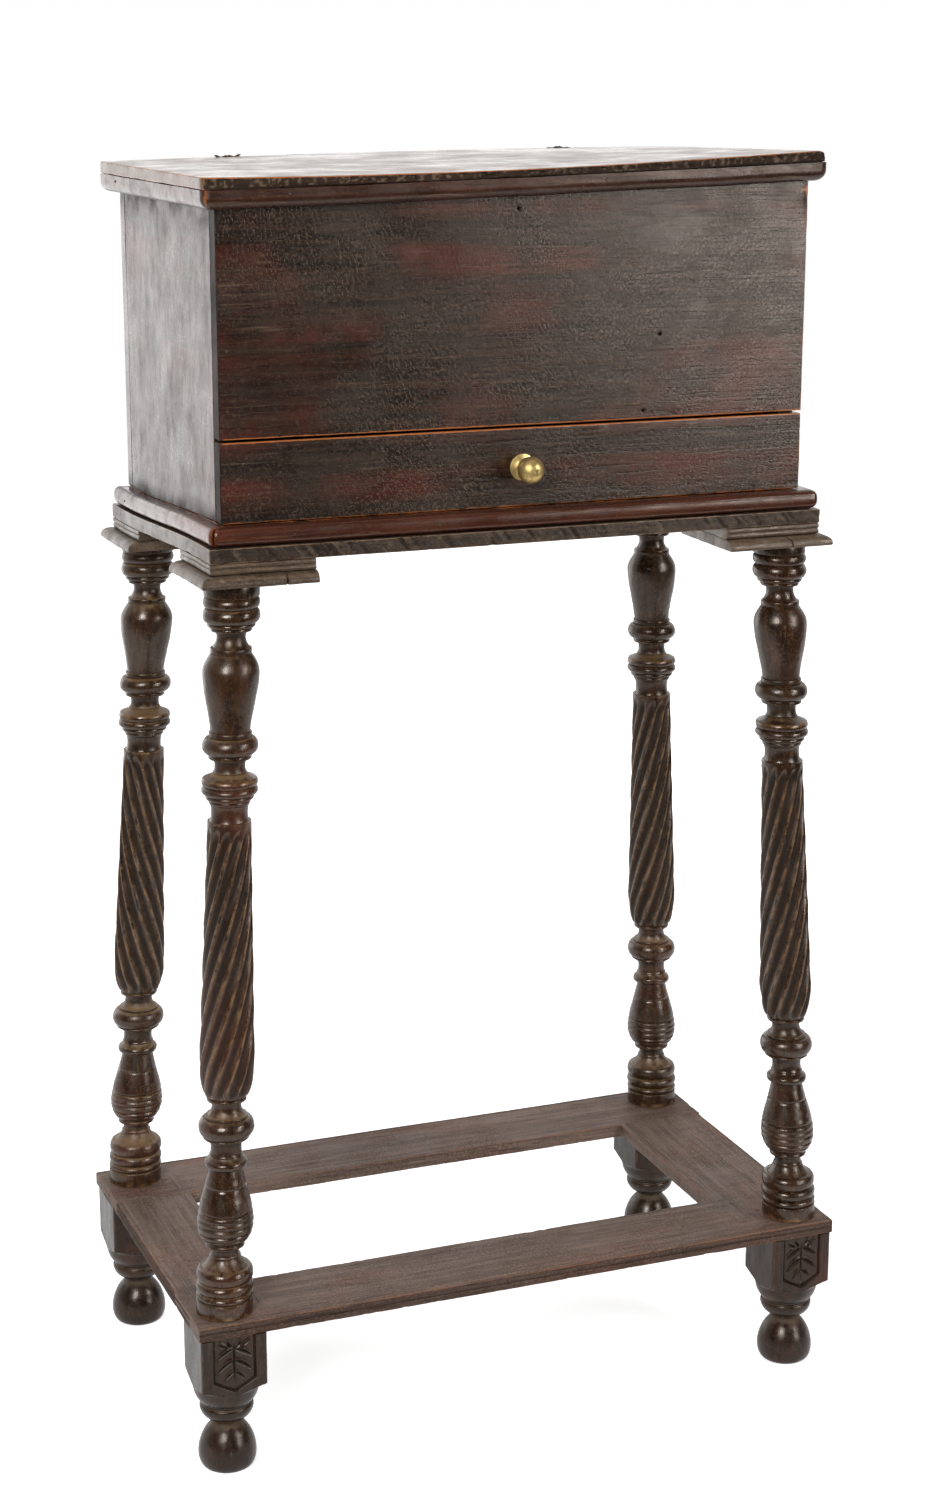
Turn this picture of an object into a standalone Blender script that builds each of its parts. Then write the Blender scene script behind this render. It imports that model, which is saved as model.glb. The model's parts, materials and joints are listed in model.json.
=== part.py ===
"""A candle box on its stand: a lidded box with a drawer, carried on four twist-turned legs.

Units are metres and +Z is up. The front faces -Y, and the origin is on the floor
under the middle of the stand. Pieces are stacked on nominal levels, and each one
stops SEAT short of the piece that it meets.
"""

import math

import bmesh
import bpy
from mathutils import Matrix, Vector

# Clearances
SEAT = 0.0003
DRAWER_SIDE_PLAY = 0.0008
DRAWER_BACK_PLAY = 0.003
LID_PLAY = 0.001

# A through cut is this many times as long as its wall. Angles are in degrees.
THROUGH = 4
ARC_STEP = 22.5
COARSE_ARC_STEP = 45
SMOOTH_ANGLE = 40

# Feet: a square block, turned to a cup, a ring, a neck and a ball
FOOT_HEIGHT = 0.1065
FOOT_WIDTH = 0.047
FOOT_FROM_END = 0.025
FOOT_FROM_EDGE = 0.0235
FOOT_CORNER_HEIGHT = 0.076
FOOT_ARCH_HEIGHT = 0.0625
FOOT_CUP_RADIUS = 0.0196
FOOT_CUP_HEIGHT = 0.046
FOOT_GROOVE = 0.0015
FOOT_RING_HEIGHT = 0.0395
FOOT_NECK_RADIUS = 0.0089
FOOT_NECK_HEIGHT = 0.035
FOOT_BALL_RADIUS = 0.0207
FOOT_BALL_HEIGHT = 0.012
FOOT_SOLE_RADIUS = 0.0135
FOOT_SIDES = 12
OGEE_STEPS = 4
PANEL_WIDTH = 0.0316
PANEL_TOP_MARGIN = 0.003
PANEL_HEIGHT = 0.033
PANEL_POINT = 0.008
PANEL_DEPTH = 0.0015

# Stretcher: front and back rails run through, side rails are tenoned and pegged into them
STRETCHER_LENGTH = 0.489
STRETCHER_DEPTH = 0.287
RAIL_THICKNESS = 0.0105
LONG_RAIL_WIDTH = 0.064
LEFT_RAIL_WIDTH = 0.057
RIGHT_RAIL_WIDTH = 0.071
RAIL_CHAMFER = 0.0022
TENON_LENGTH = 0.040
TENON_WIDTH = 0.016
TENON_THICKNESS = 0.004
TENON_OFF_SPIGOT = 0.0035
PEG_RADIUS = 0.003
PEG_FROM_SHOULDER = 0.028
PEG_SIDES = 10

# Legs: members from the pad down to the twist, and from the twist down to the stretcher,
# each with its kind, its length and its greatest radius. The twist takes up the rest.
LEG_LENGTH = 0.509
LEG_INSET = 0.0205
LEG_SIDES = 12
SPIGOT_RADIUS = 0.009
SPIGOT_IN_FOOT = 0.020
BEAD_DEPTH = 0.002
TORUS_DEPTH = 0.004
CUSHION_TOP_RADIUS = 0.0103
VASE_END_RADIUS = 0.0132
VASE_BELLY_AT = 0.21
PEAR_TOP_RADIUS = 0.0116
PEAR_BELLY_AT = 0.62
SWELL_STEPS = 6
LEG_ABOVE_TWIST = (
    ("ring", 0.0071, 0.0182),
    ("bead", 0.0075, 0.0184),
    ("bead", 0.0090, 0.0187),
    ("fillet", 0.0055, 0.0150),
    ("neck", 0.0104, 0.0095),
    ("fillet", 0.0036, 0.0136),
    ("vase", 0.0532, 0.0186),
    ("fillet", 0.0036, 0.0143),
    ("torus", 0.0116, 0.0184),
    ("neck", 0.0092, 0.0102),
    ("torus", 0.0090, 0.0185),
    ("bead", 0.0060, 0.0187),
    ("fillet", 0.0063, 0.0160),
    ("collar", 0.0149, 0.0123),
)
LEG_BELOW_TWIST = (
    ("fillet", 0.0023, 0.0136),
    ("neck", 0.0096, 0.0100),
    ("fillet", 0.0019, 0.0144),
    ("torus", 0.0129, 0.0191),
    ("neck", 0.0122, 0.0104),
    ("disc", 0.0084, 0.0146),
    ("pear", 0.0604, 0.0194),
    ("neck", 0.0077, 0.0097),
    ("cushion", 0.0126, 0.0190),
    ("bead", 0.0066, 0.0198),
    ("bead", 0.0068, 0.0198),
    ("bead", 0.0071, 0.0198),
    ("ring", 0.0075, 0.0195),
)

# The twist: hollow flutes between sharp ridges, on a column that swells to a cup at its foot
FLUTES = 12
TWIST_TURNS = 0.57
FLUTE_DEPTH = 0.0020
COLUMN_TOP_RADIUS = 0.0147
COLUMN_CUP_RADIUS = 0.0189
COLUMN_END_RADIUS = 0.0126
COLUMN_CUP_HEIGHT = 0.025
COLUMN_RINGS = 11
FLUTE_RUN_OUT = 0.008

# Corner pads: a reeded tile under the base board, and a wider tile with a rounded edge under it
PAD_LENGTH = 0.072
UPPER_TILE_THICKNESS = 0.0075
LOWER_TILE_THICKNESS = 0.0075
PAD_FLARE = 0.0075
PAD_LIP = 0.002
REED_GROOVES = 2
REED_DEPTH = 0.0008

# Base board, bottom board and the bullnose round it
BASE_THICKNESS = 0.010
BASE_OVERHANG = 0.0115
BASE_BACK_OVERHANG = 0.0045
BOTTOM_THICKNESS = 0.013
BULLNOSE_PROJECTION = 0.0108

# Box
BOX_WIDTH = 0.418
BOX_DEPTH = 0.234
BOARD_THICKNESS = 0.012
DRAWER_OPENING = 0.0545
FRONT_BOARD_HEIGHT = 0.1605
FLOOR_THICKNESS = 0.009
DADO_DEPTH = 0.004

# Lid
LID_THICKNESS = 0.008
LID_OVERHANG = 0.0105
LID_BACK_OVERHANG = 0.012
LID_ARRIS = 0.0012
OVOLO_HEIGHT = 0.0125
OVOLO_ROUND = 0.007

# Wire hinges
HINGE_SPACING = 0.256
HINGE_DROP = 0.009
WIRE_RADIUS = 0.0008
EYE_RADIUS = 0.0028
EYE_STEPS = 10
WIRE_LEG_GAP = 0.0004
LOWER_CLINCH = 0.009
UPPER_CLINCH = 0.014

# Drawer
DRAWER_FRONT_HEIGHT = 0.0525
DRAWER_WALL = 0.008
DRAWER_SIDE_HEIGHT = 0.045
DRAWER_BOTTOM_THICKNESS = 0.005
DRAWER_BOTTOM_RAISE = 0.004
DRAWER_GROOVE = 0.003
KNOB_FLANGE_RADIUS = 0.0090
KNOB_FLANGE_THICKNESS = 0.0026
KNOB_FLANGE_EDGE = 0.0015
KNOB_NECK_RADIUS = 0.0042
KNOB_NECK_LENGTH = 0.0050
KNOB_BALL_RADIUS = 0.0090
KNOB_FLAT_ANGLE = 12
KNOB_POST_RADIUS = 0.0025
KNOB_SIDES = 14
NUT_WIDTH = 0.011
NUT_THICKNESS = 0.004

# Finishes: colour, roughness, metallic
DARK_WOOD = ("dark_wood", (0.045, 0.022, 0.015), 0.42, 0.0)
TURNED_WOOD = ("turned_wood", (0.055, 0.030, 0.020), 0.38, 0.0)
STRETCHER_WOOD = ("stretcher_wood", (0.075, 0.042, 0.028), 0.62, 0.0)
PLAIN_WOOD = ("plain_wood", (0.21, 0.12, 0.062), 0.75, 0.0)
BRASS = ("aged_brass", (0.33, 0.23, 0.08), 0.35, 1.0)
IRON = ("iron_wire", (0.05, 0.045, 0.04), 0.6, 1.0)

# Levels, from the floor up
STRETCHER_LEVEL = FOOT_HEIGHT
LEG_LEVEL = STRETCHER_LEVEL + RAIL_THICKNESS
LOWER_TILE_LEVEL = LEG_LEVEL + LEG_LENGTH
UPPER_TILE_LEVEL = LOWER_TILE_LEVEL + LOWER_TILE_THICKNESS
BASE_LEVEL = UPPER_TILE_LEVEL + UPPER_TILE_THICKNESS
BOTTOM_LEVEL = BASE_LEVEL + BASE_THICKNESS
DRAWER_LEVEL = BOTTOM_LEVEL + BOTTOM_THICKNESS
FLOOR_LEVEL = DRAWER_LEVEL + DRAWER_OPENING
LID_LEVEL = FLOOR_LEVEL + FRONT_BOARD_HEIGHT

# Half sizes and faces that several pieces share
BOX_X = BOX_WIDTH / 2
BOX_Y = BOX_DEPTH / 2
BASE_X = BOX_X + BASE_OVERHANG
BASE_FRONT = BOX_Y + BASE_OVERHANG
BASE_BACK = BOX_Y + BASE_BACK_OVERHANG
INNER_X = BOX_X - BOARD_THICKNESS
INNER_Y = BOX_Y - BOARD_THICKNESS
HINGE_X = HINGE_SPACING / 2
LOWER_EYE_Y = BOX_Y + SEAT + WIRE_RADIUS + EYE_RADIUS
HINGE_Y = LOWER_EYE_Y + EYE_RADIUS
HINGE_LEVEL = LID_LEVEL - HINGE_DROP
WIRE_LEG_OFFSET = WIRE_RADIUS + WIRE_LEG_GAP / 2
FOOT_X = STRETCHER_LENGTH / 2 - FOOT_FROM_END
FOOT_Y = STRETCHER_DEPTH / 2 - FOOT_FROM_EDGE
LONG_RAIL_INNER = STRETCHER_DEPTH / 2 - LONG_RAIL_WIDTH
TENON_X = FOOT_X - SPIGOT_RADIUS - TENON_OFF_SPIGOT - TENON_WIDTH / 2

CORNERS = {
    "front_left": (-1, -1),
    "front_right": (1, -1),
    "back_left": (-1, 1),
    "back_right": (1, 1),
}
LEFT_HANDED_LEGS = ("back_left",)


# Making and placing objects

def clear_scene():
    for item in list(bpy.data.objects):
        bpy.data.objects.remove(item, do_unlink=True)


def empty(name, place):
    item = bpy.data.objects.new(name, None)
    item.location = place
    bpy.context.scene.collection.objects.link(item)
    return item


def finish_material(finish):
    name, colour, roughness, metallic = finish
    material = bpy.data.materials.get(name)
    if material is None:
        material = bpy.data.materials.new(name)
        material.use_nodes = True
        shader = material.node_tree.nodes["Principled BSDF"]
        shader.inputs["Base Color"].default_value = (*colour, 1.0)
        shader.inputs["Roughness"].default_value = roughness
        shader.inputs["Metallic"].default_value = metallic
    return material


def place_object(name, data, finish, group, place):
    """Links an object at a world place, under the empty of the body that it moves with."""
    item = bpy.data.objects.new(name, data)
    data.materials.append(finish_material(finish))
    bpy.context.scene.collection.objects.link(item)
    item.parent = group
    item.location = Vector(place) - group.location
    return item


def to_mesh(name, shape):
    bmesh.ops.recalc_face_normals(shape, faces=shape.faces)
    mesh = bpy.data.meshes.new(name)
    shape.to_mesh(mesh)
    shape.free()
    return mesh


def solid(name, shape, finish, group, place, smooth=False):
    mesh = to_mesh(name, shape)
    if smooth:
        mesh.shade_smooth()
        mesh.set_sharp_from_angle(angle=math.radians(SMOOTH_ANGLE))
    return place_object(name, mesh, finish, group, place)


def cut(target, shape, place, operation="DIFFERENCE"):
    """Cuts, joins or trims a piece with a hidden shape that is centred on a world place."""
    name = f"{target.name}_cutter_{len(target.modifiers) + 1}"
    cutter = bpy.data.objects.new(name, to_mesh(name, shape))
    bpy.context.scene.collection.objects.link(cutter)
    cutter.parent = target
    cutter.location = Vector(place) - target.location - target.parent.location
    cutter.hide_render = True
    cutter.display_type = "WIRE"
    boolean = target.modifiers.new(name, "BOOLEAN")
    boolean.operation = operation
    boolean.object = cutter
    boolean.solver = "EXACT"


# Shapes

def block(size_x, size_y, size_z):
    shape = bmesh.new()
    bmesh.ops.create_cube(shape, size=1.0, matrix=Matrix.Diagonal((size_x, size_y, size_z, 1.0)))
    return shape


def board(name, low, high, finish, group):
    """A plain board between two world corners."""
    low, high = Vector(low), Vector(high)
    return solid(name, block(*(high - low)), finish, group, (low + high) / 2)


def rod(radius, length, sides, axis="Z"):
    shape = bmesh.new()
    bmesh.ops.create_cone(
        shape, cap_ends=True, segments=sides, radius1=radius, radius2=radius, depth=length
    )
    if axis == "Y":
        bmesh.ops.rotate(shape, verts=shape.verts, matrix=Matrix.Rotation(math.pi / 2, 3, "X"))
    return shape


def loft(first, last):
    """A solid between two outlines that have the same number of points."""
    shape = bmesh.new()
    start = [shape.verts.new(point) for point in first]
    end = [shape.verts.new(point) for point in last]
    shape.faces.new(start)
    shape.faces.new(end)
    for index in range(len(start)):
        following = (index + 1) % len(start)
        shape.faces.new((start[index], start[following], end[following], end[index]))
    return shape


def prism(outline, axis, length):
    """Extrudes an outline along X, as (y, z) points, or along Y, as (x, z) points."""
    half = length / 2
    if axis == "X":
        return loft([(-half, y, z) for y, z in outline], [(half, y, z) for y, z in outline])
    return loft([(x, -half, z) for x, z in outline], [(x, half, z) for x, z in outline])


def arc(centre, radius_out, radius_up, first, last, step_angle=ARC_STEP):
    """Points on an ellipse, from one angle to another."""
    steps = math.ceil(abs(last - first) / step_angle)
    points = []
    for step in range(steps + 1):
        angle = math.radians(first + (last - first) * step / steps)
        points.append((centre[0] + radius_out * math.cos(angle), centre[1] + radius_up * math.sin(angle)))
    return points


def turned(profile, sides):
    """Turns (height, radius) points, lowest first, round the Z axis."""
    shape = bmesh.new()
    rings = [ring(shape, height, [radius] * sides) for height, radius in profile]
    close_rings(shape, rings)
    return shape


def ring(shape, height, radii, turn=0.0, shift=(0.0, 0.0)):
    points = []
    for index, radius in enumerate(radii):
        angle = turn + 2 * math.pi * index / len(radii)
        x = shift[0] + radius * math.cos(angle)
        y = shift[1] + radius * math.sin(angle)
        points.append(shape.verts.new((x, y, height)))
    return points


def stitch(shape, lower, upper):
    """Closes the strip between two rings, which may have unlike numbers of points."""
    done_low, done_up = 0, 0
    while done_low < len(lower) or done_up < len(upper):
        low = lower[done_low % len(lower)]
        up = upper[done_up % len(upper)]
        step_low = done_up == len(upper)
        if done_low < len(lower) and done_up < len(upper):
            step_low = (done_low + 1) * len(upper) <= (done_up + 1) * len(lower)
        if step_low:
            done_low += 1
            shape.faces.new((low, lower[done_low % len(lower)], up))
        else:
            done_up += 1
            shape.faces.new((low, upper[done_up % len(upper)], up))


def close_rings(shape, rings):
    for lower, upper in zip(rings, rings[1:]):
        stitch(shape, lower, upper)
    shape.faces.new(rings[0])
    shape.faces.new(rings[-1])


# Stand

def ogee(low, low_radius, high, high_radius):
    """An S-shaped run of (height, radius) points, upright at both ends."""
    points = []
    for step in range(OGEE_STEPS + 1):
        share = step / OGEE_STEPS
        ease = (1 + math.cos(math.pi * share)) / 2
        points.append((low + (high - low) * share, high_radius + (low_radius - high_radius) * ease))
    return points


def foot_profile():
    """(height, radius) points from the sole up, out past the corners of the square block."""
    past_corner = FOOT_WIDTH / math.sqrt(2) / math.cos(math.pi / FOOT_SIDES) + SEAT
    ball = arc((FOOT_SOLE_RADIUS, FOOT_BALL_HEIGHT), FOOT_BALL_RADIUS - FOOT_SOLE_RADIUS, FOOT_BALL_HEIGHT,
               -90, 0, COARSE_ARC_STEP)
    points = [(up, out) for out, up in ball]
    points += ogee(FOOT_BALL_HEIGHT, FOOT_BALL_RADIUS, FOOT_NECK_HEIGHT, FOOT_NECK_RADIUS)[1:]
    points += [
        (FOOT_RING_HEIGHT, FOOT_CUP_RADIUS),
        (FOOT_CUP_HEIGHT - FOOT_GROOVE, FOOT_CUP_RADIUS),
        (FOOT_CUP_HEIGHT, FOOT_CUP_RADIUS - FOOT_GROOVE),
        (FOOT_CUP_HEIGHT + FOOT_GROOVE, FOOT_CUP_RADIUS),
        (FOOT_ARCH_HEIGHT, FOOT_WIDTH / 2 + FOOT_GROOVE),
        (FOOT_CORNER_HEIGHT, past_corner),
        (FOOT_HEIGHT - SEAT, past_corner),
    ]
    return points


def foot_panel():
    """The sunk shield on a foot's front: square above, pointed below."""
    half = PANEL_WIDTH / 2
    low = -PANEL_HEIGHT / 2
    outline = [
        (-half, PANEL_HEIGHT / 2),
        (-half, low + PANEL_POINT),
        (0.0, low),
        (half, low + PANEL_POINT),
        (half, PANEL_HEIGHT / 2),
    ]
    return prism(outline, "Y", 2 * PANEL_DEPTH)


def make_foot(corner, group):
    side, facing = CORNERS[corner]
    centre = Vector((side * FOOT_X, facing * FOOT_Y, 0.0))
    shape = turned(foot_profile(), FOOT_SIDES)
    foot = solid(f"foot_{corner}", shape, TURNED_WOOD, group, centre, smooth=True)
    cut(foot, block(FOOT_WIDTH, FOOT_WIDTH, THROUGH * FOOT_HEIGHT), centre, "INTERSECT")
    socket = rod(SPIGOT_RADIUS + SEAT, 2 * (SPIGOT_IN_FOOT + SEAT), FOOT_SIDES)
    cut(foot, socket, centre + Vector((0, 0, FOOT_HEIGHT)))
    if facing < 0:
        middle = FOOT_HEIGHT - PANEL_TOP_MARGIN - PANEL_HEIGHT / 2
        cut(foot, foot_panel(), centre + Vector((0, -FOOT_WIDTH / 2, middle)))


def rail_outline(outer, inner):
    """Section of a rail, with its outer top arris taken off."""
    top = RAIL_THICKNESS - SEAT
    inward = math.copysign(RAIL_CHAMFER, inner - outer)
    return [(outer, 0.0), (outer, top - RAIL_CHAMFER), (outer + inward, top), (inner, top), (inner, 0.0)]


def make_stretcher(group):
    tenon_mid = RAIL_THICKNESS / 2
    for name, facing in (("front", -1), ("back", 1)):
        section = rail_outline(facing * STRETCHER_DEPTH / 2, facing * LONG_RAIL_INNER)
        place = Vector((0, 0, STRETCHER_LEVEL))
        rail = solid(f"stretcher_{name}_rail", prism(section, "X", STRETCHER_LENGTH),
                     STRETCHER_WOOD, group, place)
        for side in (-1, 1):
            spigot = (side * FOOT_X, facing * FOOT_Y, STRETCHER_LEVEL)
            cut(rail, rod(SPIGOT_RADIUS + SEAT, THROUGH * RAIL_THICKNESS, LEG_SIDES), spigot)
            mortise = block(TENON_WIDTH + 2 * SEAT, 2 * (TENON_LENGTH + SEAT), TENON_THICKNESS + 2 * SEAT)
            cut(rail, mortise, (side * TENON_X, facing * LONG_RAIL_INNER, STRETCHER_LEVEL + tenon_mid))
            peg_y = facing * (LONG_RAIL_INNER + PEG_FROM_SHOULDER)
            peg_hole = rod(PEG_RADIUS + SEAT, THROUGH * RAIL_THICKNESS, PEG_SIDES)
            cut(rail, peg_hole, (side * TENON_X, peg_y, STRETCHER_LEVEL))
            make_peg(f"stretcher_peg_{name}_{'left' if side < 0 else 'right'}", side, peg_y, group)
    for name, side, width in (("left", -1, LEFT_RAIL_WIDTH), ("right", 1, RIGHT_RAIL_WIDTH)):
        outer = side * STRETCHER_LENGTH / 2
        length = 2 * (LONG_RAIL_INNER - SEAT)
        rail = solid(f"stretcher_{name}_rail", prism(rail_outline(outer, outer - side * width), "Y", length),
                     STRETCHER_WOOD, group, (0, 0, STRETCHER_LEVEL))
        tenons = block(TENON_WIDTH, 2 * (LONG_RAIL_INNER + TENON_LENGTH), TENON_THICKNESS)
        cut(rail, tenons, (side * TENON_X, 0, STRETCHER_LEVEL + tenon_mid), "UNION")
        for facing in (-1, 1):
            peg_y = facing * (LONG_RAIL_INNER + PEG_FROM_SHOULDER)
            peg_hole = rod(PEG_RADIUS + SEAT, THROUGH * RAIL_THICKNESS, PEG_SIDES)
            cut(rail, peg_hole, (side * TENON_X, peg_y, STRETCHER_LEVEL))


def make_peg(name, side, peg_y, group):
    length = RAIL_THICKNESS - SEAT
    place = (side * TENON_X, peg_y, STRETCHER_LEVEL + length / 2)
    solid(name, rod(PEG_RADIUS, length, PEG_SIDES), STRETCHER_WOOD, group, place, smooth=True)


# Legs

def swelling(length, start, belly, end, belly_at):
    """A smooth belly between two thinner ends."""
    points = []
    for step in range(SWELL_STEPS + 1):
        share = step / SWELL_STEPS
        thin = start if share < belly_at else end
        climb = share / belly_at if share < belly_at else (1 - share) / (1 - belly_at)
        radius = thin + (belly - thin) * math.sin(climb * math.pi / 2)
        points.append((share * length, radius))
    return points


def member_points(kind, length, radius):
    """Profile of one turned member, as (drop from its top, radius) points."""
    half = length / 2
    if kind == "bead":
        return arc((half, radius - BEAD_DEPTH), half, BEAD_DEPTH, 180, 0, 2 * COARSE_ARC_STEP)
    if kind == "torus":
        return arc((half, radius - TORUS_DEPTH), half, TORUS_DEPTH, 180, 0, COARSE_ARC_STEP)
    if kind == "vase":
        return swelling(length, VASE_END_RADIUS, radius, VASE_END_RADIUS, VASE_BELLY_AT)
    if kind == "pear":
        return swelling(length, PEAR_TOP_RADIUS, radius, VASE_END_RADIUS, PEAR_BELLY_AT)
    if kind == "cushion":
        rise = radius - CUSHION_TOP_RADIUS
        return arc((length, CUSHION_TOP_RADIUS), length, rise, 180, 90, COARSE_ARC_STEP)
    return [(0.0, radius), (length, radius)]


def members_profile(members, top):
    """Joins members, uppermost first, into (height, radius) points from the height of their top."""
    points = []
    for kind, length, radius in members:
        for drop, point_radius in member_points(kind, length, radius):
            point = (top - drop, point_radius)
            if not points or math.dist(point, points[-1]) > SEAT:
                points.append(point)
        top -= length
    return points


def column_radius(drop, length):
    """Radius over the ridges at a distance below the column's top."""
    straight = length - COLUMN_CUP_HEIGHT
    if drop < straight:
        return COLUMN_TOP_RADIUS + (COLUMN_CUP_RADIUS - COLUMN_TOP_RADIUS) * drop / straight
    share = (drop - straight) / COLUMN_CUP_HEIGHT
    return COLUMN_END_RADIUS + (COLUMN_CUP_RADIUS - COLUMN_END_RADIUS) * math.sqrt(1 - share * share)


def flute_depth(drop, length):
    """Depth of the flutes, which run out to nothing at both ends of the column."""
    run = min(drop, length - drop) / FLUTE_RUN_OUT
    return FLUTE_DEPTH * math.sin(min(run, 1.0) * math.pi / 2)


def make_leg(corner, group):
    side, facing = CORNERS[corner]
    hand = -1 if corner in LEFT_HANDED_LEGS else 1
    foot = Vector((side * FOOT_X, facing * FOOT_Y, LEG_LEVEL))
    top_y = -(BASE_FRONT - LEG_INSET) if facing < 0 else BASE_BACK - LEG_INSET
    splay = Vector((side * (BASE_X - LEG_INSET), top_y, LEG_LEVEL)) - foot
    length = LEG_LENGTH - SEAT

    def shift(height):
        share = min(max(height / length, 0.0), 1.0)
        return splay.x * share, splay.y * share

    above = members_profile(LEG_ABOVE_TWIST, length)
    column_top = length - sum(member[1] for member in LEG_ABOVE_TWIST)
    column_foot = sum(member[1] for member in LEG_BELOW_TWIST)
    below = members_profile(LEG_BELOW_TWIST, column_foot)
    column_length = column_top - column_foot
    spigot_top = length + LOWER_TILE_THICKNESS + UPPER_TILE_THICKNESS - SEAT
    spigot_foot = -(RAIL_THICKNESS + SPIGOT_IN_FOOT - SEAT)
    profile_low = [(spigot_foot, SPIGOT_RADIUS), (0.0, SPIGOT_RADIUS)] + below[::-1]
    profile_high = above[::-1] + [(length, SPIGOT_RADIUS), (spigot_top, SPIGOT_RADIUS)]

    shape = bmesh.new()

    def plain_rings(profile):
        return [ring(shape, height, [radius] * LEG_SIDES, 0.0, shift(height)) for height, radius in profile]

    rings = plain_rings(profile_low)
    for index in range(COLUMN_RINGS, -1, -1):
        drop = column_length * math.sin(index / COLUMN_RINGS * math.pi / 2)
        ridge = column_radius(drop, column_length)
        hollow = ridge - flute_depth(drop, column_length)
        height = column_top - drop
        turn = -2 * math.pi * TWIST_TURNS * drop / column_length
        rings.append(ring(shape, height, [ridge, hollow] * FLUTES, turn, shift(height)))
    rings += plain_rings(profile_high)
    close_rings(shape, rings)
    if hand < 0:
        mirror_turning(shape, shift)
    solid(f"leg_{corner}", shape, TURNED_WOOD, group, foot, smooth=True)


def mirror_turning(shape, shift):
    """Turns the twist the other way by mirroring every ring about its own axis."""
    for point in shape.verts:
        axis_y = shift(point.co.z)[1]
        point.co.y = 2 * axis_y - point.co.y


# Pads and base

def pad_corners(corner):
    """Inner and outer corner of a pad under the base board."""
    side, facing = CORNERS[corner]
    outer_y = -BASE_FRONT if facing < 0 else BASE_BACK
    outer = Vector((side * BASE_X, outer_y))
    inner = outer - Vector((side * PAD_LENGTH, facing * PAD_LENGTH))
    return inner, outer


def tile_rings(corner, steps):
    """Stacks rectangles whose two outer edges stand out by the given (height, projection) steps."""
    side, facing = CORNERS[corner]
    inner, outer = pad_corners(corner)
    shape = bmesh.new()
    rings = []
    for height, projection in steps:
        x = outer.x + side * projection
        y = outer.y + facing * projection
        corners = ((inner.x, inner.y), (x, inner.y), (x, y), (inner.x, y))
        rings.append([shape.verts.new((px, py, height)) for px, py in corners])
    close_rings(shape, rings)
    return shape


def make_pad(corner, group):
    side, facing = CORNERS[corner]
    top_y = -(BASE_FRONT - LEG_INSET) if facing < 0 else BASE_BACK - LEG_INSET
    spigot = Vector((side * (BASE_X - LEG_INSET), top_y, BASE_LEVEL))
    upper = UPPER_TILE_THICKNESS - SEAT
    reeds = [(0.0, 0.0)]
    for groove in range(REED_GROOVES):
        height = upper * (groove + 1) / (REED_GROOVES + 1)
        reeds += [(height - REED_DEPTH, 0.0), (height, -REED_DEPTH), (height + REED_DEPTH, 0.0)]
    reeds.append((upper, 0.0))
    lower = LOWER_TILE_THICKNESS - SEAT
    round_edge = [(0.0, PAD_FLARE)]
    for out, up in arc((0.0, PAD_LIP), PAD_FLARE, lower - PAD_LIP, 0, 90):
        round_edge.append((up, out))
    tiles = (("upper", UPPER_TILE_LEVEL, reeds), ("lower", LOWER_TILE_LEVEL, round_edge))
    for name, level, steps in tiles:
        tile = solid(f"pad_{name}_{corner}", tile_rings(corner, steps), DARK_WOOD, group, (0, 0, level))
        cut(tile, rod(SPIGOT_RADIUS + SEAT, THROUGH * PAD_LENGTH, LEG_SIDES), spigot)


def moulding_strips(prefix, profile, back_end, group):
    """Front, left and right strips of one moulding round the box, mitred at the front corners.

    The profile holds (distance out from the box, height) points.
    """
    def front(side):
        return [(side * (BOX_X + out - SEAT), -(BOX_Y + out), z) for out, z in profile]

    solid(f"{prefix}_front", loft(front(-1), front(1)), DARK_WOOD, group, (0, 0, 0), smooth=True)
    for name, side in (("left", -1), ("right", 1)):
        near = [(side * (BOX_X + out), -(BOX_Y + out), z) for out, z in profile]
        far = [(side * (BOX_X + out), back_end, z) for out, z in profile]
        solid(f"{prefix}_{name}", loft(near, far), DARK_WOOD, group, (0, 0, 0), smooth=True)


def bullnose_profile():
    top = DRAWER_LEVEL - SEAT
    half = (top - BOTTOM_LEVEL) / 2
    nose = arc((BULLNOSE_PROJECTION - half, BOTTOM_LEVEL + half), half, half, -90, 90)
    return [(SEAT, BOTTOM_LEVEL)] + nose + [(SEAT, top)]


def ovolo_profile():
    low = LID_LEVEL - OVOLO_HEIGHT
    top = LID_LEVEL - SEAT
    corner = arc((LID_OVERHANG - OVOLO_ROUND, low + OVOLO_ROUND), OVOLO_ROUND, OVOLO_ROUND, -90, 0)
    return [(LID_PLAY, low)] + corner + [(LID_OVERHANG, top), (LID_PLAY, top)]


def make_base(group):
    board("base_board", (-BASE_X, -BASE_FRONT, BASE_LEVEL), (BASE_X, BASE_BACK, BOTTOM_LEVEL - SEAT),
          DARK_WOOD, group)
    board("box_bottom_board", (-BOX_X, -BOX_Y, BOTTOM_LEVEL), (BOX_X, BOX_Y, DRAWER_LEVEL - SEAT),
          DARK_WOOD, group)
    moulding_strips("base_moulding", bullnose_profile(), BOX_Y, group)


# Box

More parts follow.
